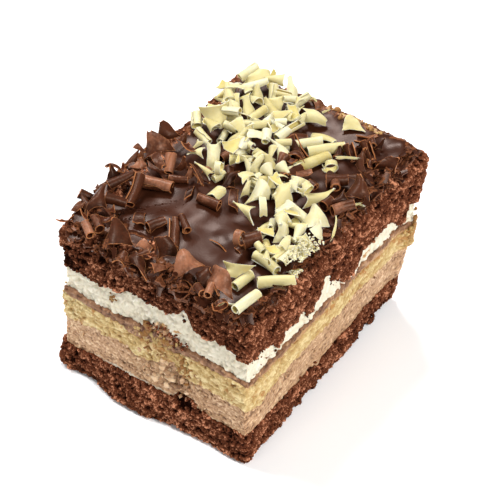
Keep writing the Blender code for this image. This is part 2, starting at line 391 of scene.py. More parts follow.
def smoothRelief(points, seed):
    # a thin cream, dragged and crumbed: low streaks, small grains of two sizes and shallow holes
    swell = layeredNoise(points, 3.0, seed, 2)
    streaks = softNoise(points * np.array([0.2, 0.2, 1.0]), 0.6, seed + 5)
    flat = wobbled(points, 0.8, 0.3, seed + 2)
    near, _, number = cellNoise(flat, 1.2, seed + 41)
    grains = bumps(near) * number
    holes = smoothStep(0.35, 0.1, near) * (number < 0.2)
    fine = softNoise(points, 0.5, seed + 53)
    out = 0.35 * swell + 0.14 * streaks + 0.45 * grains + 0.15 * fine - 0.5 * holes
    # The tone follows the relief: painted light on the grains, painted shade in the holes.
    return out, 0.36 + 0.4 * streaks + 0.4 * swell + 0.45 * grains + 0.4 * fine - 0.5 * holes


# Materials.

def feed(tree, sockets, values):
    # gives each socket, by name or number, a value, or a link from another node's output
    for label, value in values.items():
        if isinstance(value, bpy.types.NodeSocket):
            tree.links.new(value, sockets[label])
        else:
            sockets[label].default_value = value


def addNode(tree, kind, place, inputs, **settings):
    # a shader node with its settings, and what its inputs are fed with; gives back its outputs
    made = tree.nodes.new("ShaderNode" + kind)
    made.location = place
    for label, value in settings.items():
        setattr(made, label, value)
    feed(tree, made.inputs, inputs)
    return made.outputs


def addMath(tree, place, operation, *values):
    return addNode(tree, "Math", place, dict(enumerate(values)), operation=operation)[0]


def addStep(tree, place, value, low, high):
    # a soft step from 0 at low to 1 at high
    limits = {"Value": value, "From Min": low, "From Max": high}
    return addNode(tree, "MapRange", place, limits, interpolation_type="SMOOTHSTEP")[0]


def addMix(tree, place, share, first, second):
    # the first colour where the share is 0, the second where it is 1
    return addNode(tree, "Mix", place, {"Factor": share, 6: first, 7: second}, data_type="RGBA")[2]


def newGroup(name, inputs, outputs):
    # a node group with its sockets: its tree, what comes in, and what goes out
    group = bpy.data.node_groups.new(name, "ShaderNodeTree")
    for label, value in inputs.items():
        kind = "NodeSocketColor" if isinstance(value, tuple) else "NodeSocketFloat"
        group.interface.new_socket(label, in_out="INPUT", socket_type=kind).default_value = value
    for label in outputs:
        kind = "NodeSocketColor" if label == "Colour" else "NodeSocketFloat"
        group.interface.new_socket(label, in_out="OUTPUT", socket_type=kind)
    return group, group.nodes.new("NodeGroupInput").outputs, group.nodes.new("NodeGroupOutput").inputs


def makeGrainAndPitShade():
    # fine grain at one size: a value from 0 to 1 for colour, and a height for relief, the same value, so the
    # colour is painted darker in its pits and lighter on its bumps: painted shade and light
    group, source, result = newGroup("grainAndPitShade", {"Size mm": 0.6, "Stretch": 1.0}, ("Value", "Height"))
    place = addNode(group, "TexCoord", (-900, 0), {})["Object"]
    count = addMath(group, (-900, -250), "DIVIDE", 1000.0, source["Size mm"])
    squash = addNode(group, "CombineXYZ", (-720, -250), {"X": 1.0, "Y": 1.0, "Z": source["Stretch"]})[0]
    shaped = addNode(group, "VectorMath", (-540, 0), {0: place, 1: squash}, operation="MULTIPLY")[0]
    where = {"Vector": shaped, "Scale": count}
    noise = addNode(group, "TexNoise", (-340, 100), {**where, "Detail": 3.0, "Roughness": 0.65})["Fac"]
    grains = addNode(group, "TexVoronoi", (-340, -200), {**where, "Randomness": 1.0})["Distance"]
    domes = {"Value": grains, "From Max": 0.8, "To Min": 1.0, "To Max": 0.0}
    both = addMath(group, (60, 0), "ADD", noise, addNode(group, "MapRange", (-140, -200), domes)[0])
    half = addMath(group, (240, 0), "MULTIPLY", both, 0.5)
    feed(group, result, {"Value": half, "Height": half})
    return group


def makeColourRun():
    # a colour run through three colours, deep, middle and bright, by a value from 0 to 1 that grain and
    # drift vary
    sockets = {
        "Value": 0.5, "Grain": 0.5, "Grain Amount": 0.4, "Drift mm": 6.0, "Drift Amount": 0.3,
        "Deep": (0, 0, 0, 1), "Middle": (0.5, 0.5, 0.5, 1), "Bright": (1, 1, 1, 1),
    }
    group, source, result = newGroup("colourRun", sockets, ("Colour", "Value"))
    place = addNode(group, "TexCoord", (-1100, 200), {})["Object"]
    count = addMath(group, (-1100, 0), "DIVIDE", 1000.0, source["Drift mm"])
    drift = addNode(group, "TexNoise", (-900, 100), {"Vector": place, "Scale": count, "Detail": 2.0})["Fac"]
    total = source["Value"]
    for texture, amount in ((source["Grain"], "Grain Amount"), (drift, "Drift Amount")):
        centred = addMath(group, (-700, 0), "SUBTRACT", texture, 0.5)
        total = addMath(group, (-520, 0), "MULTIPLY_ADD", centred, source[amount], total)
    colour = source["Deep"]
    for label, low, high in (("Middle", 0.0, 0.5), ("Bright", 0.5, 1.0)):
        step = addStep(group, (-300, 0), total, low, high)
        colour = addMix(group, (-100, 0), step, colour, source[label])
    feed(group, result, {"Colour": colour, "Value": total})
    return group


def makeStain():
    # a colour laid over another where a mask is, its edge broken up by grain
    sockets = {"Colour": (1, 1, 1, 1), "Stain": (0, 0, 0, 1), "Mask": 0.0, "Grain": 0.5}
    group, source, result = newGroup("stain", sockets, ("Colour",))
    centred = addMath(group, (-500, 0), "SUBTRACT", source["Grain"], 0.5)
    broken = addMath(group, (-340, 0), "MULTIPLY_ADD", centred, 0.8, source["Mask"])
    step = addStep(group, (-180, 0), broken, 0.25, 0.75)
    feed(group, result, {"Colour": addMix(group, (0, 0), step, source["Colour"], source["Stain"])})
    return group


def makeRollLines():
    # fine lines that run round a roll, from the UV map, whose first coordinate is the place along its axis
    # in mm
    group, source, result = newGroup("rollLines", {"Fineness": 1.0}, ("Height",))
    place = addNode(group, "UVMap", (-700, 0), {}, uv_map="UVMap")["UV"]
    drawn = addNode(group, "VectorMath", (-500, 0), {0: place, 1: (1.0, 0.08, 1.0)}, operation="MULTIPLY")[0]
    lines = {"Vector": drawn, "Scale": source["Fineness"], "Detail": 2.0}
    feed(group, result, {"Height": addNode(group, "TexNoise", (-300, 0), lines)["Fac"]})
    return group


grainAndPitShade = makeGrainAndPitShade()
colourRun = makeColourRun()
stain = makeStain()
rollLines = makeRollLines()


def foodMaterial(name, look):
    # colour from the tone held on the points, run through three colours with grain and drift, stains laid
    # over it, roughness that follows the value, and the grain as fine relief, over a roll's fine lines where
    # it has any
    material = bpy.data.materials.new(name)
    material.use_nodes = True
    tree = material.node_tree
    sizes = {"Size mm": look["grain"], "Stretch": look.get("stretch", 1.0)}
    # The grain's one value is both colour and fine relief: painted shade in its pits, painted light on its
    # bumps.
    grain = addNode(tree, "Group", (-900, -200), sizes, node_tree=grainAndPitShade)
    run = addNode(tree, "Group", (-600, 0), {
        "Value": addNode(tree, "Attribute", (-900, 100), {}, attribute_name="tone")["Fac"],
        "Grain": grain["Value"], "Grain Amount": look["grainAmount"],
        "Drift mm": look["drift"], "Drift Amount": look["driftAmount"],
        "Deep": (*look["deep"], 1), "Middle": (*look["middle"], 1), "Bright": (*look["bright"], 1),
    }, node_tree=colourRun)
    colour = run["Colour"]
    for attribute, over in look.get("stains", {}).items():
        mask = addNode(tree, "Attribute", (-600, -400), {}, attribute_name=attribute)["Fac"]
        layer = {"Colour": colour, "Stain": (*over, 1), "Mask": mask, "Grain": grain["Value"]}
        colour = addNode(tree, "Group", (-350, -200), layer, node_tree=stain)["Colour"]
    gloss = {"Value": run["Value"], "To Min": look["rough"][0], "To Max": look["rough"][1]}
    relief = {"Strength": look["bump"], "Distance": look["grain"] * 0.4 * mm, "Height": grain["Height"]}
    if "lines" in look:
        lines = addNode(tree, "Group", (-900, -900), {"Fineness": look["lines"]}, node_tree=rollLines)
        under = {"Strength": look["lineBump"], "Distance": 0.2 * mm, "Height": lines["Height"]}
        relief["Normal"] = addNode(tree, "Bump", (-600, -900), under)["Normal"]
    feed(tree, tree.nodes["Principled BSDF"].inputs, {
        "Base Color": colour,
        "Roughness": addNode(tree, "MapRange", (-350, -500), gloss)[0],
        "Normal": addNode(tree, "Bump", (-350, -750), relief)["Normal"],
        **look["sockets"],
    })
    return material


def flesh(gloss, weight, radius, depth):
    # how a soft food takes light: its gloss, and how much, in which colours and how deep light spreads
    # inside it
    return {
        "Specular IOR Level": gloss, "Subsurface Weight": weight, "Subsurface Radius": radius,
        "Subsurface Scale": depth * mm,
    }


softFood = flesh(0.2, 0.25, (1.0, 0.7, 0.45), 1.2)
cocoaSpongeMaterial = foodMaterial("cocoaSponge", {
    "grain": 0.42, "grainAmount": 0.8, "drift": 7.0, "driftAmount": 0.35, "bump": 1.0, "rough": (0.9, 0.8),
    "deep": (0.012, 0.0025, 0.0008), "middle": (0.116, 0.0345, 0.0155), "bright": (0.60, 0.255, 0.138),
    "sockets": {"Specular IOR Level": 0.03},
})
nutCreamMaterial = foodMaterial("nutCream", {
    "grain": 1.0, "grainAmount": 0.55, "drift": 3.0, "driftAmount": 0.5, "bump": 0.5, "rough": (0.6, 0.5),
    "stretch": 1.6,
    "deep": (0.18, 0.088, 0.042), "middle": (0.445, 0.262, 0.140), "bright": (0.69, 0.49, 0.31),
    # The dark marks on the nut cream include painted shade in a hole and a recess.
    "stains": {"nutty": (0.50, 0.30, 0.145), "darkMarks": (0.17, 0.075, 0.032), "smear": (0.62, 0.54, 0.42)},
    "sockets": softFood,
})
yellowSpongeMaterial = foodMaterial("yellowSponge", {
    "grain": 0.6, "grainAmount": 0.5, "drift": 4.0, "driftAmount": 0.45, "bump": 0.7, "rough": (0.75, 0.65),
    "deep": (0.26, 0.12, 0.036), "middle": (0.47, 0.32, 0.126), "bright": (0.68, 0.545, 0.29),
    "stains": {"browned": (0.40, 0.205, 0.068), "darkMarks": (0.22, 0.085, 0.028)},
    "sockets": softFood,
})
cocoaCreamMaterial = foodMaterial("cocoaCream", {
    "grain": 0.6, "grainAmount": 0.35, "drift": 4.0, "driftAmount": 0.3, "bump": 0.4, "rough": (0.6, 0.5),
    "deep": (0.08, 0.030, 0.013), "middle": (0.225, 0.108, 0.054), "bright": (0.42, 0.25, 0.14),
    "stains": {"browned": (0.45, 0.26, 0.12), "darkMarks": (0.11, 0.038, 0.018)},
    "sockets": softFood,
})
whiteCreamMaterial = foodMaterial("whiteCream", {
    "grain": 0.7, "grainAmount": 0.3, "drift": 5.0, "driftAmount": 0.3, "bump": 0.35, "rough": (0.55, 0.5),
    "deep": (0.46, 0.39, 0.27), "middle": (0.69, 0.63, 0.49), "bright": (0.82, 0.77, 0.66),
    "stains": {"browned": (0.48, 0.27, 0.10), "darkMarks": (0.20, 0.085, 0.035)},
    "sockets": softFood,
})
print("materials made")


# Each layer: the CAD node, its edges, how far it is set back from the cut, how far its side swells, how far
# its lower and upper edges are worn round, its cell size, relief, and its own standing out, as knots on the
# two faces. dents are hollows, with painted shade in them: place along the outline, height, half width, half
# height and depth. rougher is one place on the left face where the relief is stronger, given in the same way.
layers = {
    "baseSponge": {
        "node": "base_sponge", "slot": "cocoa_sponge", "low": "floor", "high": "baseTop", "inset": 0.45,
        "swell": 0.35, "worn": (1.4, 0.5), "cell": 0.26, "relief": spongeRelief, "seed": 100,
        "material": cocoaSpongeMaterial,
        "stand": {"front": ((0, 0), (90, 0.2)), "left": ((0, 1.1), (5, 0.4), (12, 0), (68, 0))},
        "dents": ((294.5, 12.6, 2.4, 1.5, 1.6), (292.5, 13.4, 0.8, 1.2, 1.6), (78, 0, 9, 4, 1.3)),
    },
    "nutCream": {
        "node": "nut_cream", "slot": "nut_cream", "low": "baseTop", "high": "nutTop", "inset": 0.45,
        "swell": 0.1, "worn": (0.35, 0.3), "cell": 0.32, "relief": nutCreamRelief, "seed": 200,
        "material": nutCreamMaterial, "rougher": (35, 19, 11, 7, 1.6),
        "stand": {
            "front": ((0, 0), (84, 0), (87, 1.2), (94, 1.3), (120, 0)),
            "left": ((0, 0), (42, 0), (45, -0.9), (48, -0.4), (52, 0), (68, 0)),
        },
    },
    "yellowSponge": {
        "node": "yellow_sponge", "slot": "yellow_sponge", "low": "nutTop", "high": "yellowTop", "inset": 0.3,
        "swell": 0.1, "worn": (0.3, 0.3), "cell": 0.33, "relief": fineSpongeRelief, "seed": 300,
        "material": yellowSpongeMaterial,
        "stand": {
            "front": ((0, 0), (84, 0), (87, 1.6), (92, 2.3), (96, 1.8), (120, 0.3)),
            "left": ((0, 0), (68, 0)),
        },
    },
    "cocoaCream": {
        "node": "cocoa_cream", "slot": "cocoa_cream", "low": "yellowTop", "high": "cocoaTop", "inset": 0.35,
        "swell": 0.1, "worn": (0.3, 0.35), "cell": 0.36, "relief": smoothRelief, "seed": 400,
        "material": cocoaCreamMaterial,
        "stand": {"front": ((0, 0), (84, 0), (88, 1.2), (96, 1.4), (120, 0.3)), "left": ((0, 0.4), (68, 0))},
    },
    "whiteCream": {
        "node": "white_cream", "slot": "white_cream", "low": "cocoaTop", "high": "whiteTop", "inset": 1.0,
        "swell": 0.1, "worn": (0.3, 0.2), "cell": 0.31, "relief": creamRelief, "seed": 500,
        "material": whiteCreamMaterial,
        "stand": {
            "front": ((0, 0), (83, 0), (88, 1.4), (96, 1.4), (120, 0.4)),
            "left": ((0, -0.3), (5, 0), (68, 0)),
        },
    },
    "topSponge": {
        "node": "top_sponge", "slot": "cocoa_sponge", "low": "whiteTop", "high": "spongeTop", "inset": 0.35,
        "swell": 0.5, "worn": (0.5, 2.6), "cell": 0.295, "relief": spongeRelief, "seed": 600,
        "material": cocoaSpongeMaterial,
        "stand": {
            "front": ((0, 0), (80, 0), (88, 1.3), (96, 1.9), (130, 1.3), (158, 0.6), (200, 0)),
            "left": ((0, 0.3), (9, 0.1), (68, 0)),
        },
        "dents": (
            (264.0, 55.0, 2.0, 1.1, 1.8), (256.5, 50.5, 1.5, 0.9, 1.0), (281.0, 52.5, 1.8, 1.0, 1.2),
            (12.0, 50.0, 2.0, 1.0, 1.2), (249, 48, 4, 4, 1.3),
        ),
    },
}
overlap = 0.25  # how far each layer reaches into the next one
# The rings that close a layer off: how far each lies in from the rim, of the reach that would be the middle.
capReach = 34.0
plainSteps = [0.8, 3, 12, 33.9]
underSteps = [0.8, 2, 5, 12, 33.9]
crumbedSteps = [0.3 * k for k in range(1, 30)] + [10, 14, 22, 33.9]
# The top sponge's upper face: its height near the rim, and how much it falls further in.
topLevel = {"rim": 58.2, "falls": 0.9}
# Where the base swells low on the left face.
belly = {"middle": 26.5, "halfWidth": 12.2, "out": 2.9, "height": 7.0}


def bellyOut(around, heights):
    # a broad swelling with steep ends, which fades with the height
    across = np.exp(-(((around - left - belly["middle"]) / belly["halfWidth"]) ** 4))
    return belly["out"] * across * np.exp(-((heights / belly["height"]) ** 2))


def faceWaves(around, heights):
    # two soft waves along the cut faces
    return 0.3 * np.sin(around / 7.3 + heights / 11) + 0.2 * np.sin(around / 3.1 - heights / 8 + 1.3)


def spot(around, heights, s, z, halfWidth, halfHeight):
    # a soft round mark on a cut face, 1 in its middle; s counts along the outline
    gap = (around - s + aroundAll / 2) % aroundAll - aroundAll / 2
    return np.exp(-((gap / halfWidth) ** 2) - ((heights - z) / halfHeight) ** 2)


def layerMarks(name, around, heights, rise):
    # stains on a layer, as masks from 0 to 1

    def mark(*place):
        return spot(around, heights, *place)

    def gathered(marks):
        # the sum of round marks, each a distance along the outline, a height, half sizes and a strength
        return sum(strong * mark(*place) for *place, strong in marks)

    face = np.stack([around + 0 * heights, 0 * heights, heights], -1)
    patches = layeredNoise(face, 2.4, 41)
    flecks = smoothStep(0.25, 0.55, softNoise(wobbled(face, 1.0, 0.4, 47), 0.8, 43))
    if name == "nutCream":
        # Dark marks: brown crumbs and spots, and at left + 43.1 and left + 47.8 painted shade in a hole and
        # in a recess.
        darkMarks = (
            (left + 41.5, 23.5, 4.0, 4.0, 1.4), (left + 35.2, 23.3, 1.4, 1.4, 1.5),
            (left + 6.5, 19, 0.9, 0.9, 1.4), (left + 43.1, 14, 0.9, 1.8, 1.6),
            (left + 47.8, 13.8, 2.3, 2.0, 0.9), (left + 33, 17, 9, 4, 0.5), (23.5, 19, 3.6, 0.6, 2.0),
            (left + 26, 15, 3, 2, 0.5),
        )
        low = smoothStep(0.16, 0.06, rise + 0.06 * patches)
        blotches = smoothStep(0.3, 0.6, patches)
        return {
            "nutty": (0.4 + 0.6 * patches) * mark(left + 35, 19, 12, 6),
            "darkMarks": (0.35 + 0.65 * flecks) * gathered(darkMarks),
            "smear": 0.9 * low * mark(left + 27, 13, 17, 4) + 0.8 * blotches * mark(left + 33, 17.5, 9, 4.5),
        }
    if name == "yellowSponge":
        darkMarks = (
            (left + 7.5, 25.5, 2.5, 1.1, 0.9), (left + 15, 25, 3.0, 1.5, 0.9),
            (left + 32.5, 30, 1.8, 3.0, 1.0), (left + 51, 28, 1.8, 1.8, 1.1), (left + 36, 29, 6, 2.5, 0.9),
            (left + 1, 29.5, 1.4, 1.4, 0.8), (26.8, 29.5, 1.3, 2.4, 1.2), (43.5, 30.5, 2.4, 1.4, 0.9),
            (87.5, 31, 3.5, 4.0, 0.7), (11, 30.5, 1.4, 1.2, 0.5),
        )
        orange = (
            (8, 25.5, 1.5, 1.2, 1.1), (5.5, 28.5, 1.4, 2.5, 0.6), (43.5, 30.5, 3.0, 1.6, 0.9),
            (63.5, 31, 2.8, 2.8, 0.9), (71, 31.5, 3.2, 0.9, 1.0), (83.5, 29, 1.8, 1.4, 0.9),
            (87.5, 31, 4.5, 5.0, 1.2), (left + 63, 28.5, 2.4, 1.6, 0.9), (left + 1, 29.5, 2.2, 2.0, 1.2),
            (left + 36, 31.5, 9, 3, 0.85), (left + 45.5, 27, 2.0, 3.0, 0.8), (left + 51, 28, 3, 2.4, 0.6),
        )
        broken = 0.6 * smoothStep(0.3, 0.6, layeredNoise(face, 2.0, 51))
        broken = broken + 0.5 * smoothStep(0.86, 1.0, rise + 0.2 * patches)
        lower = 0.5 * smoothStep(0.2, 0.0, rise + 0.3 * patches)
        return {
            "browned": broken + gathered(orange) * (0.75 + 0.5 * patches) + lower,
            "darkMarks": (0.3 + 0.7 * flecks) * (gathered(darkMarks) + 0.5 * lower),
        }
    if name == "cocoaCream":
        lower = smoothStep(0.8, 0.2, rise + 0.3 * patches) * (0.25 + 0.6 * (around < 95))
        crumbed = ((left + 38, 36, 6.0, 3.0, 1.2), (left + 31, 34, 4, 2.5, 0.7), (27, 33, 1.5, 1.5, 0.7))
        crumbs = gathered(crumbed)
        mixed = smoothStep(0.0, 0.5, patches) * crumbs
        return {"browned": lower + mixed, "darkMarks": flecks * (0.5 + 0.9 * crumbs)}
    if name == "whiteCream":
        nuts = (
            (left + 37.5, 39.5, 1.6, 2.4, 1.4), (left + 42.5, 41.5, 1.6, 0.5, 1.1), (64, 37.5, 3.0, 1.4, 0.9),
        )
        darkMarks = (
            (left + 41, 38.5, 2.2, 2.0, 1.3), (left + 18.2, 40, 1.6, 2.2, 1.0), (64, 37.2, 3.0, 1.5, 0.8),
            (8, 39.5, 1.2, 2.5, 0.7), (12.5, 37, 1.6, 1.2, 0.7), (36.5, 38, 1.6, 1.2, 0.6),
        )
        return {"browned": gathered(nuts), "darkMarks": (0.35 + 0.65 * flecks) * gathered(darkMarks)}
    return {}


def makeLayer(name, layer):
    # a closed body: rows from the middle of its underside, out to the side, up it, and in again over its
    # top. Each side point is the outline at its height, moved straight out by the set back, the swell, the
    # worn edges, its waves and its relief. The rows above and below are the side's rims drawn in towards the
    # middle.
    isBase, isTop = name == "baseSponge", name == "topSponge"
    columns = int(aroundAll / layer["cell"])
    around = columnPlaces(columns)
    low = levelLine(layer["low"], columns) - (0.0 if isBase else overlap)
    high = levelLine(layer["high"], columns) + overlap
    rows = int(np.mean(high - low) / layer["cell"]) + 1
    rise = np.linspace(0, 1, rows)[:, None] + np.zeros(columns)
    heights = low + (high - low) * rise
    place, out = outline(heights)
    below, above = (heights - low), (high - heights)
    wornLow, wornHigh = layer["worn"]
    back = wornLow * np.clip(1 - below / wornLow, 0, 1) ** 2
    back = back + wornHigh * np.clip(1 - above / wornHigh, 0, 1) ** 2
    stand = aroundValues(layer["stand"], columns) - layer["inset"] + layer["swell"] * np.sin(math.pi * rise)
    stand = stand - back + faceWaves(around, heights)
    if isBase:
        stand = stand + bellyOut(around, heights)
    solid = np.concatenate([place, heights[..., None]], -1)
    relief, tone = layer["relief"](solid, layer["seed"])
    # Each dent is hollowed and its tone lowered: painted shade in the dent.
    for s, z, wide, tall, deep in layer.get("dents", ()):
        dent = spot(around, heights, s, z, wide, tall)
        relief, tone = relief - deep * dent, tone - 0.5 * deep * dent
    if "rougher" in layer:
        s, z, wide, tall, more = layer["rougher"]
        relief = relief * (1 + more * spot(around, heights, left + s, z, wide, tall))
    # A point also slips a little up or down its face, but not at the edges or on the ground.
    slip = 0.16 * softNoise(solid, 0.8, layer["seed"] + 3) * (np.minimum(1, below / 0.3) if isBase else 1.0)
    slip = slip * np.minimum(1, below) * np.minimum(1, above)
    side = np.concatenate([place + out * (stand + relief)[..., None], (heights + slip)[..., None]], -1)
    middle = np.array([cornersBelow.mean(0), cornersAbove.mean(0)]).mean(0)

    def cap(rim, steps, crumbed=False):
        # rings drawn in from a rim, with relief of their own where the top is crumbed; the last is nearly a
        # point
        rings, tones = [], []
        for step in steps:
            ring, ringTone = rim.copy(), np.full(columns, 0.5)
            ring[:, :2] = middle + (rim[:, :2] - middle) * (1 - step / capReach)
            if crumbed:
                lift, ringTone = layer["relief"](ring, layer["seed"])
                ring[:, 2] += lift * smoothStep(0, 0.6, step) * smoothStep(9.5, 6.5, step)
                level = topLevel["rim"] - topLevel["falls"] * smoothStep(3, 7, step)
                ring[:, 2] += (level - rim[:, 2]) * smoothStep(0, 4.5, step)
            rings.append(ring)
            tones.append(ringTone)
        return rings, tones

    upper, upperTones = cap(side[-1], crumbedSteps if isTop else plainSteps, isTop)
    lower, lowerTones = cap(side[0], underSteps)
    points = np.concatenate(lower[::-1] + list(side) + upper)
    attributes = {"tone": np.concatenate(lowerTones[::-1] + list(tone) + upperTones)}
    # The innermost rings are closed with one face each.
    count = len(lower) + rows + len(upper)
    faces = ringFaces(count, columns).tolist()
    faces += [list(range(columns - 1, -1, -1)), list(range((count - 1) * columns, count * columns))]
    for label, mask in layerMarks(name, around, heights, rise).items():
        attributes[label] = np.zeros((count, columns))
        attributes[label][len(lower):len(lower) + rows] = mask
    newPiece(name, points, faces, layer["material"], [layer["node"]], attributes)


for name, layer in layers.items():
    makeLayer(name, layer)
print("layers made")


# The glaze.
glazeMaterial = foodMaterial("glaze", {
    "grain": 0.5, "grainAmount": 0.12, "drift": 9.0, "driftAmount": 0.5, "bump": 0.08, "rough": (0.25, 0.34),
    "deep": (0.0170, 0.0045, 0.0020), "middle": (0.036, 0.0105, 0.0050), "bright": (0.066, 0.0220, 0.0120),
    "stains": {"crumbed": (0.16, 0.055, 0.022)},
    "sockets": {"Specular IOR Level": 0.12, "Specular Tint": (1.0, 0.78, 0.68, 1.0)},
})
glaze = {
    "height": 59.1,
    "wave": 0.8,             # how high its ridges are
    "pitch": 14.5,           # from one ridge to the next
    "shift": 1.2,            # where along Y the ridges start
    "calm": (-34, -20),      # the ridges fade out between these, towards the left edge
    "gridSizes": (90, 66),   # along X and Y, cut into cells
    "cell": 0.4,
    "halfSizes": (44, 33),   # of the box whose shape the grid's rings start from
    "rimHeight": 58.0,       # where the cut's outline is read
    "inset": {               # how far its rim lies in from the cut
        "front": (
            (0, 3.0), (10, 2.4), (25, 2.0), (45, 2.2), (60, 2.4), (75, 1.8), (88, 1.2), (158, 1.5),
            (235, 3.0),
        ),
        "left": ((0, 7.0), (6, 5.5), (14, 4.5), (24, 6.0), (34, 4.5), (45, 4.0), (56, 4.2), (68, 3.0)),
    },
    "ragged": 0.8,
    "rimColumns": 1400,
    "edge": 0.9,             # how thick its rounded edge is
    # swells, the first at the front right corner: middle, reach along X and Y, height
    "swells": (
        (41.0, -27.0, 6.5, 7.5, 1.5), (46, -4, 8, 36, 1.7), (-12.5, 5.5, 9.0, 6.5, 1.1),
        (-23.0, 9.0, 5.0, 6.0, 0.5),
    ),
    "cracks": (
        ((-27.6, 22.5), (-29.9, 21.4), (-31.1, 18.1), (-32.6, 15.3), (-31.6, 12), (-30.3, 9)),
        ((-38.1, 9.2), (-37.1, 6.6), (-35.6, 3.5)), ((-35.6, 3.5), (-31, 7.3)),
    ),
    "crackDepth": 0.75,
    "plates": {"size": 7.0, "from": -34, "to": -38, "behind": -20},  # it is cracked up near the left edge
    # rings under the edge: their share of the way out, and how far they drop
    "under": ((0.995, 0.45), (0.97, 1.1), (0.6, 1.6), (0.05, 1.6)),
}


def glazeHeight(x, y):
    # rounded ridges along X, a pitch apart, that swell and fade, soft noise, and a few domes
    along = (y + glaze["shift"] + 1.5 * np.sin(x / 20)) / glaze["pitch"]
    ridges = np.sqrt(np.cos(math.pi * along) ** 2 + 0.06)
    swell = (0.6 + 0.4 * np.sin(x / 11.5 + y / 24 + 0.8)) * (0.15 + 0.85 * smoothStep(*glaze["calm"], x))
    spots = np.stack([x, y, np.zeros_like(x)], -1)
    soft = 0.45 * softNoise(spots, 9.0, 3) + 0.22 * softNoise(spots, 3.6, 5)
    domes = 0.0
    for atX, atY, reachX, reachY, tall in glaze["swells"]:
        domes = domes + tall * np.exp(-(((x - atX) / reachX) ** 2 + ((y - atY) / reachY) ** 2) ** 1.5)
    return glaze["height"] + glaze["wave"] * swell * (ridges - 0.5) + soft + domes


def lineDistance(x, y, line):
    # the distance from each point to a bent line, the least of the distances to its straight pieces
    best = np.full(x.shape, 99.0)
    for (x0, y0), (x1, y1) in zip(line[:-1], line[1:]):
        share = ((x - x0) * (x1 - x0) + (y - y0) * (y1 - y0)) / ((x1 - x0) ** 2 + (y1 - y0) ** 2)
        share = np.clip(share, 0, 1)
        best = np.minimum(best, np.hypot(x - x0 - share * (x1 - x0), y - y0 - share * (y1 - y0)))
    return best


def glazeCracks(x, y):
    # grooves along the bent lines, and between the plates of a cell pattern near the left edge
    spots = np.stack([x, y, np.zeros_like(x)], -1)
    wobbly = spots + 0.8 * np.stack([softNoise(spots, 2.0, 71), softNoise(spots, 2.0, 72), 0 * x], -1)
    depth = np.zeros_like(x)
    for line in glaze["cracks"]:
        away = lineDistance(wobbly[..., 0], wobbly[..., 1], line)
        depth = np.maximum(depth, 1.5 * np.exp(-((away / 0.45) ** 2)))
        depth = depth - 0.4 * np.exp(-(((away - 1.2) / 0.5) ** 2))
    plates = glaze["plates"]
    near, after, _ = cellNoise(wobbly, plates["size"], 77)
    cracked = smoothStep(plates["from"], plates["to"], x) * (y > plates["behind"])
    return np.maximum(depth, np.exp(-(((after - near) / 0.06) ** 2)) * cracked)


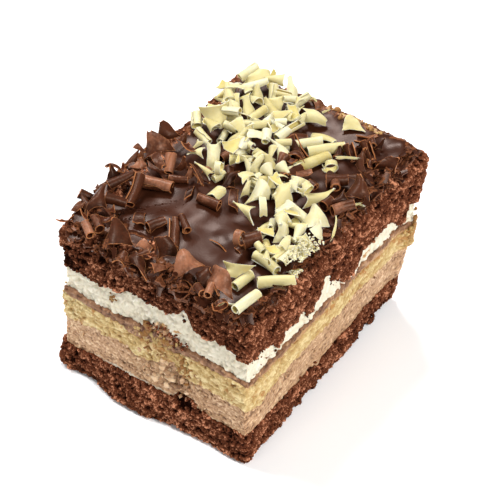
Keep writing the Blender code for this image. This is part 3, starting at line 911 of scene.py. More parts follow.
def makeGlaze():
    # a closed body: a fine grid laid between four corners, each point drawn in towards the middle by the
    # ragged inset that its direction has; its edge is rounded down and closed under the glaze
    columns, rows = (int(size / glaze["cell"]) for size in glaze["gridSizes"])
    rimColumns = glaze["rimColumns"]
    place, out = outline(np.full((1, rimColumns), glaze["rimHeight"]))
    spots = np.concatenate([place[0], np.full((rimColumns, 1), 3.0)], 1)
    ragged = 0.7 * layeredNoise(spots, 3.5, 81) + 0.5 * softNoise(spots, 1.0, 83)
    inset = aroundValues(glaze["inset"], rimColumns) + glaze["ragged"] * ragged
    rim = place[0] - out[0] * inset[:, None]
    middle = rim.mean(0)
    turns = np.unwrap(np.arctan2(rim[:, 1] - middle[1], rim[:, 0] - middle[0])) % (2 * math.pi)
    reach = np.hypot(rim[:, 0] - middle[0], rim[:, 1] - middle[1])
    # The grid runs over a square; each of its square rings is carried to the same share of the way out to
    # the rim.
    u, v = np.meshgrid(np.linspace(-1, 1, columns + 1), np.linspace(-1, 1, rows + 1))
    share = np.maximum(np.abs(u), np.abs(v))
    boxX, boxY = u * glaze["halfSizes"][0], v * glaze["halfSizes"][1]
    angle = np.arctan2(boxY, boxX) % (2 * math.pi)
    order = np.argsort(turns)
    smoothReach = softened(reach[None, :, None], 6 * rimColumns / aroundAll)[0, :, 0]
    far, farSmooth = (
        np.interp(angle, turns[order], values[order], period=2 * math.pi) for values in (reach, smoothReach)
    )
    far = farSmooth + (far - farSmooth) * share**8
    boxFar = np.maximum(np.hypot(boxX, boxY) / np.maximum(share, 1e-9), 1e-9)
    x = middle[0] + boxX * far / boxFar
    y = middle[1] + boxY * far / boxFar
    fromEdge = (1 - share) * far
    cracks = glazeCracks(x, y)
    inEdge = 1 - np.clip(fromEdge / glaze["edge"], 0, 1)
    fall = glaze["edge"] * (1 - np.sqrt(np.clip(1 - inEdge**2, 0, 1)))
    top = np.stack([x, y, glazeHeight(x, y) - fall - glaze["crackDepth"] * cracks], -1)
    count = (rows + 1) * (columns + 1)
    here = np.arange(count).reshape(rows + 1, columns + 1)
    faces = np.stack([here[:-1, :-1], here[:-1, 1:], here[1:, 1:], here[1:, :-1]], -1).reshape(-1, 4).tolist()
    edge = np.concatenate([here[0, :-1], here[:-1, -1], here[-1, :0:-1], here[:0:-1, 0]])
    rimPoints = top.reshape(-1, 3)[edge]
    rings, previous = [], edge
    for outwards, drop in glaze["under"]:
        ring = rimPoints.copy()
        ring[:, :2] = middle + (rimPoints[:, :2] - middle) * outwards
        ring[:, 2] -= drop
        following = count + np.arange(len(edge))
        count += len(edge)
        rings.append(ring)
        faces += np.stack([previous, following, np.roll(following, -1), np.roll(previous, -1)], -1).tolist()
        previous = following
    faces.append(previous[::-1].tolist())
    points = np.concatenate([top.reshape(-1, 3)] + rings)
    tone = 0.5 + 0.25 * layeredNoise(points, 6.0, 91)
    near = smoothStep(5.0, 0.5, fromEdge) * smoothStep(0.1, 0.7, softNoise(top, 1.1, 95) * 0.5 + 0.5)
    crumbed = np.zeros(len(points))
    crumbed[:near.size] = np.clip(near * 0.9 + 0.8 * cracks, 0, 1).ravel()
    attributes = {"tone": tone, "crumbed": crumbed}
    newPiece("glazeTop", points, faces, glazeMaterial, ["glaze"], attributes)


makeGlaze()
print("glaze made")


# Shavings: sheets of chocolate, rolled, bent and torn.
whiteChocolate = foodMaterial("whiteChocolate", {
    "grain": 0.8, "grainAmount": 0.15, "drift": 5.0, "driftAmount": 0.6, "bump": 0.15, "rough": (0.45, 0.38),
    "deep": (0.42, 0.335, 0.11), "middle": (0.535, 0.468, 0.237), "bright": (0.615, 0.575, 0.40),
    # The inner face of each sheet takes painted shade, and its rims a paler painted highlight.
    "stains": {"innerShade": (0.54, 0.45, 0.17), "edge": (0.65, 0.61, 0.45)},
    "lines": 2.2, "lineBump": 0.35,
    "sockets": flesh(0.22, 0.5, (1.0, 0.85, 0.45), 1.2),
})
milkChocolate = foodMaterial("milkChocolate", {
    "grain": 0.8, "grainAmount": 0.3, "drift": 5.0, "driftAmount": 0.9, "bump": 0.2, "rough": (0.40, 0.32),
    "deep": (0.018, 0.0040, 0.0014), "middle": (0.058, 0.0165, 0.0068), "bright": (0.27, 0.112, 0.060),
    # The inner face of each sheet takes painted shade, and its rims an orange painted glow, as of light
    # through thin chocolate.
    "stains": {"innerShade": (0.055, 0.013, 0.005), "edge": (0.36, 0.140, 0.054)},
    "lines": 2.2, "lineBump": 0.4,
    "sockets": {**flesh(0.2, 0.15, (1.0, 0.4, 0.2), 0.8), "Specular Tint": (1.0, 0.76, 0.62, 1.0)},
})

shavingRng = np.random.default_rng(4)
between = shavingRng.uniform  # a seeded number between two

# A shaving's form: its length along the roll's axis, the radius at both ends of the axis, how far it is
# rolled, how much a full turn draws in, how much it narrows towards the axis's far end, and to which side,
# how torn it is, its thickness, how much its axis bows, and how far it is wound along the axis, which slants
# its ends.
plainForm = {
    "length": 8.0, "radii": (1.5, 1.5), "turn": 400.0, "spiral": 0.5, "point": 0.0, "lean": 0.0, "torn": 0.06,
    "thick": 0.32, "bow": 0.0, "twist": 0.0, "rows": 12, "columns": 3,
}
tubeForm = {"torn": 0.06, "rows": 18, "columns": 4}
flakeForm = {"thick": 0.34, "torn": 0.07, "rows": 10, "columns": 6}
loopForm = {"spiral": 0.9, "torn": 0.15, "rows": 18, "columns": 1}
sliverForm = {"turn": math.degrees(1 / 1.4), "point": 0.7, "torn": 0.3, "rows": 3, "columns": 6}
shardForm = {"torn": 0.3, "rows": 1, "columns": 1}
plateForm = {"turn": 14.3, "torn": 0.25, "thick": 1.3, "rows": 4, "columns": 4}


def withEdges(count, strip):
    # values from 0 to 1 with one more close to each end, where a sheet's edge turns over
    return np.concatenate([[0, strip], np.linspace(0, 1, count + 2)[1:-1], [1 - strip, 1]])


def tornEdge(places, torn, knots=6):
    # a seeded bent line over places from 0 to 1, that wanders between 0 and how torn the edge is
    return torn * np.interp(places, np.linspace(0, 1, knots), shavingRng.random(knots))


def rolledSheet(form):
    # points of a closed sheet (rows, columns, 3). u runs round the roll, v along its axis. The angle is the
    # turn times u from the middle, less where the sheet narrows; the radius runs between the two ends and
    # draws in with the angle; both pairs of edges are torn. The second half of the columns is the same sheet
    # one thickness nearer the axis.
    thick, torn = form["thick"], form["torn"]
    wide = max(form["radii"]) * math.radians(form["turn"])
    u = withEdges(form["rows"], min(0.25, 0.8 * thick / wide))[:, None]
    v = withEdges(form["columns"], min(0.25, 0.8 * thick / form["length"]))[None, :]
    starts, ends = tornEdge(v, torn), 1 - tornEdge(v, torn)
    lows, highs = tornEdge(u, torn), 1 - tornEdge(u, torn)
    reach = lows + (highs - lows) * v
    spread = 1 - form["point"] * reach
    angle = (starts + (ends - starts) * u - 0.5) * spread + 0.5 * form["lean"] * (1 - spread)
    angle = angle * math.radians(form["turn"]) + math.radians(form["twist"]) * (reach - 0.5)
    radius = form["radii"][0] + (form["radii"][1] - form["radii"][0]) * reach
    radius = np.maximum(radius - form["spiral"] * angle / (2 * math.pi), 0.3)
    # Both sheets, outer and inner, the inner one counted back.
    radius = np.concatenate([radius, np.maximum(radius - thick, 0.05)[:, ::-1]], 1)
    angle = np.concatenate([angle, angle[:, ::-1]], 1)
    away = 2 * np.concatenate([reach, reach[:, ::-1]], 1) - 1
    z = -radius * np.cos(angle) + form["bow"] * away**2
    return np.stack([radius * np.sin(angle), away * form["length"] / 2, z], -1), angle * radius


def turned(points, heading, pitch, roll):
    # rolled about the axis, tipped up at its far end, and then headed round in plan
    r, p, h = math.radians(roll), math.radians(pitch), math.radians(heading)
    x, y, z = points[..., 0], points[..., 1], points[..., 2]
    x, z = x * math.cos(r) - z * math.sin(r), x * math.sin(r) + z * math.cos(r)
    y, z = y * math.cos(p) - z * math.sin(p), y * math.sin(p) + z * math.cos(p)
    return np.stack([x * math.sin(h) + y * math.cos(h), -x * math.cos(h) + y * math.sin(h), z], -1)


# The heap so far: the height reached in each cell of a plan grid.
heap = {
    "cell": 0.5, "halfSizes": (52, 41),
    "cakeHalfSizes": (45.5, 34.5),
    "sponge": 58.2,   # the least height on the cake
    "outside": 57.0,  # the height beyond its edges
    "top": 67.4,      # nothing stands higher than this
    "overlap": 0.25,  # how far a shaving settles into the ones under it
}
heapX, heapY = (np.arange(-half, half, heap["cell"]) for half in heap["halfSizes"])
gridX, gridY = np.meshgrid(heapX, heapY, indexing="ij")
heapHeight = np.maximum(glazeHeight(gridX, gridY), heap["sponge"])
offCake = (np.abs(gridX) > heap["cakeHalfSizes"][0]) | (np.abs(gridY) > heap["cakeHalfSizes"][1])
heapHeight[offCake] = heap["outside"]
shavings = {}


def sheetFaces(rows, columns):
    # quads of a closed sheet whose second half of columns lies under the first: its ring, and a strip at
    # each end
    here = np.arange(rows * columns).reshape(rows, columns)
    upper, lower = here[:, :columns // 2], here[:, ::-1][:, :columns // 2]
    strips = [np.stack([upper[k, :-1], upper[k, 1:], lower[k, 1:], lower[k, :-1]], -1) for k in (0, -1)]
    return np.concatenate([ringFaces(rows, columns), strips[0][:, ::-1], strips[1]])


def putDown(kind, points, uv, sink=0.1, free=True):
    # adds one closed sheet to the heap; a free one first sinks until a few of its points touch what lies
    # under it
    shape = points.shape[:2]
    flat = points.reshape(-1, 3).copy()
    i = np.clip(((flat[:, 0] - heapX[0]) / heap["cell"]).round().astype(int), 1, len(heapX) - 2)
    j = np.clip(((flat[:, 1] - heapY[0]) / heap["cell"]).round().astype(int), 1, len(heapY) - 2)
    if free:
        flat[:, 2] -= np.quantile(flat[:, 2] - heapHeight[i, j], sink)
    flat[:, 2] -= max(0, flat[:, 2].max() - heap["top"])
    for di, dj in ((di, dj) for di in (-1, 0, 1) for dj in (-1, 0, 1)):
        np.maximum.at(heapHeight, (i + di, j + dj), flat[:, 2] - heap["overlap"])
    half = shape[1] // 2
    # The rims carry a painted highlight and the inner sheet painted shade, through the materials' stains.
    edge, innerShade = np.zeros(shape), np.zeros(shape)
    edge[[0, -1], :] = 1
    edge[:, [0, half - 1, half, -1]] = 1
    innerShade[:, half:] = 1
    # Each shaving has a tone of its own, and is painted lighter the higher it lies and darker low in the
    # heap: painted light and shade.
    tone = between(0.15, 0.75) + 0.05 * np.clip(flat[:, 2] - glaze["height"] - 2.5, -4, 5)
    parts = flat, sheetFaces(*shape), edge.ravel(), innerShade.ravel(), tone, uv.reshape(-1, 2)
    shavings.setdefault(kind, []).append(parts)


def layDown(kind, x, y, heading, form, pitch=0.0, roll=0.0, sink=0.1, height=None):
    # puts one rolled shaving down at a place in plan, free, or with its middle held at a height over the
    # glaze
    full = dict(plainForm, **form)
    points, arc = rolledSheet(full)
    half = points.shape[1] // 2
    along = np.concatenate([np.linspace(0, 1, half), np.linspace(1, 0, half)]) * full["length"]
    uv = np.stack([along + between(0, 50) + 0 * arc, arc], -1)
    points = turned(points, heading, pitch, roll)
    middle = (points.min((0, 1)) + points.max((0, 1))) / 2
    level = 0 if height is None else glaze["height"] + height
    putDown(kind, points - middle + np.array([x, y, level]), uv, sink, height is None)


def layRolls(kind, rows):
    # rolls held between two ends in space, each end with its height over the glaze
    for start, end, wide, turn, roll in rows:
        start, end = np.array(start), np.array(end)
        gap = end - start
        long = np.linalg.norm(gap)
        form = {
            **tubeForm, "length": long, "radii": (wide / 2, wide / 2 * between(0.7, 1)), "turn": turn,
            "bow": between(-0.2, 0.4), "twist": between(-60, 60),
        }
        x, y, height = (start + end) / 2
        heading, pitch = math.degrees(math.atan2(gap[1], gap[0])), math.degrees(math.asin(gap[2] / long))
        layDown(kind, x, y, heading, form, pitch, roll, height=height)


# A petal: its thickness, how torn its edges are, its grid, how close its second rows lie to its edges, and
# how far all petals are lifted off the glaze.
leaf = {"thick": 0.36, "torn": 0.05, "rows": 10, "columns": 8, "strip": 0.03, "lifted": 0.7}


def leafSheet(footA, footB, tip, share, arch, flare, hem):
    # the two faces of a petal. u runs from the foot, between its two corners, to the tip; v runs across,
    # from -1 to 1. The half width falls from 1 to the tip's share as (1 - u) to the flare, and is rounded
    # off at the tip. The middle is arched up by the arch times 1 - v squared times that width, and the
    # foot's hem is drawn in by 1 - v squared. The spine bows up and sideways as u(1 - u), the tip curls as u
    # cubed, and the sides wave and wind a little.
    footA, footB, tip = np.array(footA), np.array(footB), np.array(tip)
    foot, across = (footA + footB) / 2, (footB - footA) / 2
    along = tip - foot
    long, wide = np.linalg.norm(along), np.linalg.norm(across)
    normal = np.cross(across, along)
    normal = normal / np.linalg.norm(normal) * (1 if normal[2] > 0 else -1)
    u, v = withEdges(leaf["rows"], leaf["strip"])[:, None], withEdges(leaf["columns"], leaf["strip"])[None, :]
    low, high = tornEdge(v, leaf["torn"], 7), 1 - tornEdge(v, leaf["torn"], 7)
    near, far = 2 * tornEdge(u, leaf["torn"], 7) - 1, 1 - 2 * tornEdge(u, leaf["torn"], 7)
    u = (low + (high - low) * u)[..., None]
    v = (near + (far - near) * v)[..., None]
    half = (share + (1 - share) * (1 - u) ** flare) * np.sqrt(1 - 0.6 * np.clip((u - 0.85) / 0.15, 0, 1) ** 2)
    curve = 4 * u * (1 - u)
    lift = (arch + 0.34 * wide) * (1 - v**2) * half + between(-0.04, 0.16) * long * curve
    lift = lift + between(-0.3, 0.9) * u**3
    lift = lift + 0.12 * wide * v**2 * np.sin(3 * math.pi * u + between(0, 6))
    lift = lift + between(-0.25, 0.25) * wide * v * u
    aside = between(-0.14, 0.14) * long * curve / max(wide, 0.5)
    drawn = along / long * (hem + 0.16 * long) * (1 - v**2) * (1 - u) ** 2
    points = foot + along * u + across * (half * v + aside) + normal * lift + drawn
    alongU, alongV = np.gradient(points, axis=0), np.gradient(points, axis=1)
    out = np.cross(alongV, alongU)
    size = np.maximum(np.linalg.norm(out, axis=-1, keepdims=True), 1e-9)
    out = out / size * np.sign(out @ normal)[..., None]
    return points, points - out * leaf["thick"]


def layLeaves(kind, rows):
    for row in rows:
        outer, inner = leafSheet(*row)
        # Columns run across; a mirrored order keeps the outer sheet's faces outwards.
        points = np.concatenate([outer, inner[:, ::-1]], 1)
        points[..., 2] += glaze["height"] + leaf["lifted"]
        normal = np.cross(outer[-1, 5] - outer[0, 5], outer[5, -1] - outer[5, 0])
        if np.dot(normal, outer[5, 5] - inner[5, 5]) > 0:
            points = points[::-1]
        uv = np.stack([points[..., 0] * 0.8 + points[..., 2], points[..., 1]], -1)
        putDown(kind, points, uv, free=False)


def finishShavings(kind, material, nodes):
    # joins all shavings of one kind into one piece
    parts = shavings[kind]
    counts = np.cumsum([0] + [len(part[0]) for part in parts])
    faces = np.concatenate([part[1] + start for part, start in zip(parts, counts)])
    points, edge, innerShade, tone, uv = (np.concatenate([part[k] for part in parts]) for k in (0, 2, 3, 4, 5))
    # Only the glaze plates' material shows the crumbed colour: on their rims, and on plates of high tone,
    # which their height raises.
    crumbed = 0.6 * edge + 0.5 * (tone > 0.55)
    attributes = {"edge": 0.9 * edge, "innerShade": innerShade, "tone": tone, "crumbed": crumbed}
    newPiece(kind, points, faces, material, nodes, attributes, uv, sharp=50)


# Rows of tubes: place in plan, heading, length, diameter.
whiteTubes = (
    (-37.6, -30.6, -8, 9.5, 2.8), (-29.8, -23.6, -7, 7.5, 3.0), (-25.7, -31.9, -51, 11, 3.3),
    (-21.4, -25.3, 79, 9.5, 3.2), (-17, -22.5, 48, 6.5, 3.0), (-17.5, -27.5, -8, 5, 2.5),
    (-10, -17, -10, 5.5, 3.0), (22, -10.8, -24, 12, 3.4), (28.8, -10.8, -45, 12, 3.8), (17, 18, 15, 8, 2.5),
    (22.2, 18.5, 90, 10, 2.5), (25.5, -4.8, -42, 13, 3.0),
)
milkTubes = (
    (-26.5, 3.5, 36, 12, 3.0), (-22.5, 2.8, 55, 6.5, 2.5), (-10.5, 3, 100, 7.5, 3.5),
    (-13.5, 20, -70, 10, 4.3), (-26.5, 10, -25, 6, 3.5), (-41.4, 22.8, 58, 5.5, 2.6),
    (-37.8, 22.6, 58, 5.5, 3.2), (12.3, -9.8, 37, 10.5, 3.0), (9.6, -30.2, -29, 7.5, 3.5),
    (9.2, -25, -5, 3.5, 3.8), (33.5, -24.5, 50, 5, 2.5), (10.5, 11.5, -8, 8, 3.0), (-8, 16.5, -60, 6, 2.8),
    (14, -16.5, 80, 3, 2.5),
)
# Rows of rolls held in space: both ends, each x, y and height over the glaze, the diameter, how far rolled,
# and the roll.
whiteRolls = (
    ((10.6, 23.6, 4.6), (8.8, 17.7, 3.6), 2.8, 400, 0), ((37.7, 28.0, 4.6), (44.2, 25.4, 6.4), 3.2, 400, 90),
    ((33.5, 24.0, 5.0), (40.6, 19.0, 6.0), 3.2, 230, 180), ((36.4, 8.7, 1.8), (44.1, 5.9, 4.6), 3.0, 420, 40),
    ((-1.6, 8.4, 1.4), (2.4, 7.3, 1.6), 2.6, 380, 120),
    ((-0.7, -26.0, 2.4), (0.5, -12.5, 5.6), 3.0, 380, 200),
    ((36.0, 13.5, 2.0), (41.0, 17.0, 5.4), 3.2, 400, 30),
    ((13.5, 26.0, 2.4), (17.5, 29.5, 3.6), 3.4, 430, 70), ((21.5, 2.0, 4.4), (26.5, 1.0, 5.2), 3.4, 300, 170),
)
milkRolls = (
    ((-3.2, 22.7, 5.6), (-8.1, 20.1, 2.4), 3.6, 380, 0),
    ((-22.8, 31.2, 2.6), (-15.2, 26.7, 4.6), 3.4, 230, 200),
    ((-25.5, 21.0, 1.8), (-15.0, 24.8, 4.6), 3.2, 420, 60),
    ((-32.0, 34.5, 4.5), (-29.7, 30.0, 2.5), 3.2, 300, 150),
    ((-29.0, 27.2, 4.6), (-25.6, 21.5, 2.6), 3.4, 300, 170),
    ((32.3, -16.3, 4.4), (29.8, -20.8, 2.0), 3.4, 300, 10),
    ((36.2, -19.6, 4.6), (33.1, -25.2, 1.4), 3.2, 320, 20),
    ((16.3, -19.2, 2.6), (20.8, -24.6, 2.6), 4.4, 290, 100),
    ((24.6, -0.8, 4.6), (21.0, -8.6, 1.8), 3.8, 360, 30),
    ((24.6, 0.0, 3.6), (28.4, -4.4, 3.0), 3.6, 250, 160),
    ((-19.5, -15.5, 3.4), (-15.0, -19.0, 4.2), 4.4, 440, 200),
    ((9.0, -10.5, 5.2), (12.5, -5.5, 2.0), 2.0, 170, 150),
)
# Rows of petals: the foot's two corners and the tip, each x, y and height over the glaze; the tip's share of
# the width, the arch, the flare, and how far the hem is drawn in.
whiteLeaves = (
    ((7.1, 17.3, 5.5), (9.9, 13.9, 5.5), (0.8, 10.5, 0.5), 0.85, 0.8, 1.0, 0.4),
    ((5.9, 16.6, 4.0), (2.2, 14.6, 2.5), (1.9, 20.6, 1.5), 0.06, 0.6, 1.5, -0.5),
    ((7.3, 20.7, 4.0), (7.2, 17.6, 4.5), (3.8, 21.3, 1.0), 0.06, 0.6, 1.3, -0.3),
    ((-2.7, 8.6, 0.5), (-0.4, 7.8, 2.2), (-1.6, 15.4, 4.0), 0.05, 0.6, 1.3, 0.3),
    ((17.7, 29.6, 5.0), (26.1, 22.8, 5.5), (16.4, 20.5, 1.0), 0.4, 1.5, 1.2, 0.8),
    ((26.8, 24.3, 5.2), (26.7, 19.5, 2.0), (21.6, 14.2, 1.0), 0.1, 1.0, 1.2, -0.6),
    ((27.2, 18.3, 3.0), (26.9, 10.9, 3.0), (29.8, 18.7, 8.0), 0.1, 2.0, 1.1, -0.6),
    ((22.9, 18.2, 5.6), (22.0, 13.0, 3.0), (26.6, 10.1, 2.5), 0.3, 1.2, 1.0, 0.4),
    ((13.2, 14.5, 2.5), (14.1, 5.8, 1.0), (20.8, 8.9, 7.0), 0.08, 1.3, 1.1, -1.6),
    ((23.9, 9.8, 4.0), (24.6, 5.0, 3.0), (28.1, 8.0, 6.0), 0.1, 1.0, 1.2, -0.4),
    ((18.9, -6.0, 3.0), (13.9, -3.4, 2.0), (17.3, 2.8, 7.0), 0.06, 1.2, 1.5, -0.8),
    ((5.1, 0.2, 1.5), (6.0, -3.2, 1.5), (11.0, -1.4, 7.0), 0.5, 0.5, 1.0, 0.3),
    ((8.7, -3.8, 2.0), (11.6, -6.8, 2.0), (11.2, -1.4, 7.0), 0.5, 0.5, 1.0, 0.3),
    ((4.1, 0.5, 1.5), (8.4, 0.7, 3.0), (7.0, 4.8, 6.0), 0.04, 0.5, 1.7, -0.8),
    ((37.2, 26.4, 2.2), (42.6, 18.3, 2.4), (44.2, 23.6, 5.6), 0.5, 0.2, 1.0, 0.1),
    ((36.7, 9.4, 1.0), (44.5, 10.5, 1.5), (44.3, 14.6, 7.5), 0.12, 0.8, 1.1, -0.4),
    ((44.1, 6.8, 4.4), (44.9, 4.1, 3.6), (44.7, 0.3, 0.5), 0.2, 0.5, 1.0, 0.2),
    ((32.6, 7.1, 1.0), (34.9, 3.2, 1.5), (38.9, 4.1, 4.0), 0.1, 0.8, 1.2, -0.4),
    ((38.3, 4.9, 3.0), (33.6, 2.1, 1.0), (38.8, -4.6, 1.0), 0.5, 1.0, 0.8, 0.3),
    ((27.5, 24.6, 4.5), (21.2, 22.2, 2.0), (23.1, 14.9, 2.0), 0.2, 1.0, 1.2, 0.5),
    ((-11.0, -13.9, 0.5), (-6.2, -11.1, 4.0), (-8.6, -4.3, 4.0), 0.04, 0.9, 1.3, 0.6),
    ((-5.9, -5.8, 2.0), (-0.4, -11.5, 3.0), (1.2, -6.7, 7.5), 0.2, 2.2, 0.8, -0.4),
    ((-4.2, -3.4, 1.2), (-2.3, -5.9, 1.6), (-0.1, -3.9, 6.0), 0.4, 0.4, 1.0, 0.3),
    ((0.1, -11.5, 5.0), (-7.5, -18.1, 1.0), (3.6, -16.6, 6.0), 0.6, 1.0, 0.9, 0.3),
    ((3.6, -15.4, 6.0), (2.6, -20.4, 1.0), (13.7, -24.5, 4.0), 0.03, 0.9, 1.4, 0.8),
    ((-5.0, -23.7, 1.5), (1.4, -31.8, 1.5), (2.5, -24.9, 6.5), 0.1, 2.0, 1.1, -0.9),
    ((-14.0, -21.8, 2.0), (-8.8, -24.0, 3.0), (-9.8, -21.6, 7.0), 0.25, 1.2, 1.0, -1.5),
    ((-12.2, -23.2, 4.0), (-6.7, -28.7, 4.5), (-8.6, -33.2, 1.0), 0.3, 1.6, 0.9, 0.6),
    ((-5.0, -28.2, 4.0), (-5.4, -33.9, 1.5), (-2.1, -30.2, 6.5), 0.1, 1.4, 1.1, -0.5),
    ((-3.2, -34.2, 0.3), (-0.6, -33.6, 0.4), (3.6, -31.9, 5.0), 0.05, 0.4, 0.8, 0.2),
    ((-14.8, -23.4, 3.0), (-10.2, -30.5, 3.5), (-14.9, -30.7, 1.0), 0.7, 1.0, 1.0, 0.3),
    ((-18.9, -11.8, 2.5), (-13.2, -19.7, 3.0), (-17.0, -18.0, 0.8), 0.1, 0.4, 1.0, 0.3),
    ((-28.7, -15.4, 3.0), (-24.8, -25.2, 3.4), (-31.2, -20.9, 0.8), 0.2, 0.9, 1.2, 0.4),
    ((-39.6, -24.5, 2.0), (-38.0, -28.0, 0.5), (-41.3, -23.7, 0.3), 0.2, 0.4, 1.0, 0.1),
    ((38.5, -10.1, 0.9), (42.4, -16.6, 0.9), (44.2, -9.4, 3.4), 0.3, -0.9, 0.9, -0.3),
    ((16.5, -33.2, 1.5), (15.5, -34.6, 0.4), (13.2, -30.3, 0.4), 0.1, 0.4, 1.0, 0.1),
    ((31.0, 26.5, 1.0), (37.5, 30.5, 1.0), (34.5, 24.5, 5.5), 0.1, 1.4, 1.2, -0.6),
    ((29.5, 12.5, 1.0), (35.5, 9.5, 1.0), (34.0, 15.5, 5.0), 0.1, 1.4, 1.1, -0.6),
    ((32.0, 21.5, 2.0), (33.0, 14.5, 2.0), (36.5, 19.5, 7.0), 0.15, 1.6, 1.0, -0.4),
    ((11.5, -10.5, 3.0), (14.5, -16.0, 1.0), (6.5, -15.0, 2.0), 0.2, 0.8, 1.2, 0.3),
    ((40.0, 11.0, 4.0), (35.0, 16.5, 3.0), (33.5, 10.0, 1.5), 0.3, 0.9, 1.0, 0.4),
)
milkLeaves = (
    ((-43.1, 17.0, 0.8), (-37.7, 8.8, 1.5), (-36.2, 16.9, 7.5), 0.1, 2.2, 0.9, -0.4),
    ((-37.0, 28.5, 0.6), (-31.3, 23.0, 0.8), (-25.6, 29.2, 5.6), 0.14, 1.0, 1.1, 0.6),
    ((-31.8, 27.6, 2.0), (-36.6, 27.2, 0.8), (-31.4, 34.2, 4.2), 0.12, 0.8, 1.1, 0.4),
    ((-31.3, 26.6, 3.5), (-30.7, 23.6, 3.0), (-31.8, 20.5, 0.3), 0.5, 0.4, 1.0, 0.2),
    ((-37.4, 33.0, 1.0), (-32.1, 32.7, 1.5), (-34.0, 29.5, 2.6), 0.5, 0.5, 1.0, 0.2),
    ((-22.0, 33.2, 0.6), (-16.4, 31.0, 1.4), (-17.9, 34.0, 5.6), 0.08, 0.6, 1.4, -0.3),
    ((-13.4, 33.2, 0.4), (-9.6, 30.0, 0.6), (-6.4, 32.2, 3.5), 0.1, 0.7, 1.0, 0.2),
    ((-13.9, 30.2, 3.0), (-10.0, 26.0, 2.5), (-10.5, 28.6, 5.4), 0.06, 0.8, 1.3, -0.6),
    ((-6.8, 31.5, -0.2), (1.1, 24.2, 2.4), (-1.7, 32.4, 8.1), 0.12, 1.6, 0.8, 0.6),
    ((2.0, 33.0, 1.5), (7.3, 25.4, 2.4), (4.4, 32.2, 8.1), 0.1, 1.2, 0.9, 0.4),
    ((3.6, 27.4, 3.5), (5.4, 24.0, 1.0), (7.2, 25.4, 4.4), 0.1, 0.7, 1.2, -0.3),
    ((-8.4, 28.2, 3.0), (-8.1, 20.6, 4.0), (-9.4, 18.6, 0.8), 0.1, -0.8, 1.0, 0.4),
    ((-5.8, 20.3, 1.2), (-2.4, 17.2, 1.6), (-3.0, 17.9, 6.2), 0.1, 0.8, 1.4, -0.5),
    ((-7.0, 15.8, 0.8), (-3.9, 13.4, 1.2), (-4.7, 14.4, 5.2), 0.1, 0.7, 1.4, -0.5),
    ((-4.4, 14.2, 3.0), (-5.6, 11.0, 0.6), (-3.4, 8.4, 0.4), 0.1, 0.5, 1.2, 0.2),
    ((-37.8, 0.6, 0.4), (-33.6, -3.8, 0.6), (-33.6, 2.6, 6.0), 0.75, 0.5, 1.0, 0.1),
    ((-45.9, 10.6, 0.4), (-45.0, 6.3, 0.4), (-41.0, 9.8, 1.6), 0.6, 0.3, 0.8, 0.1),
    ((-43.6, 6.4, 0.3), (-45.8, -2.5, 0.2), (-40.1, 4.5, 1.3), 0.5, 0.3, 0.9, 0.1),
    ((-42.6, -6.6, 0.2), (-38.9, -7.7, 0.2), (-38.5, -5.5, 1.2), 0.4, 0.3, 1.0, 0.1),
    ((-40.2, -9.4, 0.4), (-40.8, -15.5, 0.4), (-37.3, -11.5, 1.6), 0.5, 0.4, 1.0, 0.1),
    ((-32.0, -12.8, 1.4), (-41.7, -8.1, 0.3), (-34.4, -5.6, 6.2), 0.12, 2.3, 0.8, 0.2),
    ((-40.9, -17.6, 0.5), (-36.8, -12.2, 2.0), (-35.0, -16.9, 4.6), 0.5, 1.0, 0.7, 0.2),
    ((-39.4, -17.4, 2.6), (-38.4, -26.6, 1.4), (-33.6, -19.4, 6.6), 0.6, 1.2, 0.8, -0.2),
    ((34.2, -19.0, 2.0), (35.3, -20.9, 1.0), (37.7, -22.5, 7.0), 0.1, 0.4, 1.0, 0.2),
    ((28.2, -21.7, 0.8), (31.5, -24.3, 0.8), (31.6, -23.0, 6.4), 0.06, 0.5, 1.8, -0.4),
    ((37.3, -22.8, 1.2), (38.7, -24.5, 0.8), (39.8, -24.7, 5.2), 0.15, 0.5, 1.0, 0.2),
    ((27.4, -22.8, 1.5), (24.9, -30.2, 0.8), (30.4, -23.8, 7.0), 0.08, 0.8, 1.5, -0.4),
    ((29.2, -27.4, 1.0), (31.6, -33.9, 1.0), (34.2, -32.0, 5.5), 0.5, -1.2, 0.8, 0.2),
    ((14.5, -25.9, 1.0), (17.9, -34.3, 1.0), (20.7, -28.1, 7.0), 0.14, 1.6, 1.0, -0.4),
    ((15.8, -26.7, 3.5), (14.6, -31.2, 0.8), (8.8, -25.1, 0.8), 0.15, 0.7, 1.3, 0.3),
    ((31.5, -24.0, 2.4), (33.3, -25.2, 2.0), (28.8, -28.2, 0.4), 0.3, 0.4, 1.0, 0.2),
    ((2.0, 7.0, 0.8), (5.0, 3.0, 2.4), (-2.5, 3.5, 0.5), 0.3, 0.7, 1.0, 0.3),
    ((27.5, -14.2, 0.6), (29.8, -16.6, 0.6), (30.6, -14.6, 3.4), 0.2, 0.6, 1.0, 0.2),
)
# Rows of flat scraps: place in plan, heading, length, width, turn, narrowing, roll, pitch. A roll of 180 has
# its hollow below.
whiteSheets = ((27, 22, 30, 10, 6, 110, 0.4, 175, 8), (33, -7, -80, 8, 5, 150, 0.1, 195, 4))
milkSheets = (
    (-27, 15.5, 30, 6, 4, 25, 0.2, 180, 2), (-4, -1.5, 0, 8, 4, 30, 0.2, 180, 2),
    (-10, 10.5, 80, 3.5, 3.5, 20, 0, 180, 2), (44, 3, 70, 5, 4, 60, 0.3, 170, 8),
    (-18.5, -15, -10, 5, 4, 120, 0.2, 170, 10), (2, 5, 40, 9, 5, 140, 0.3, 180, 10),
)
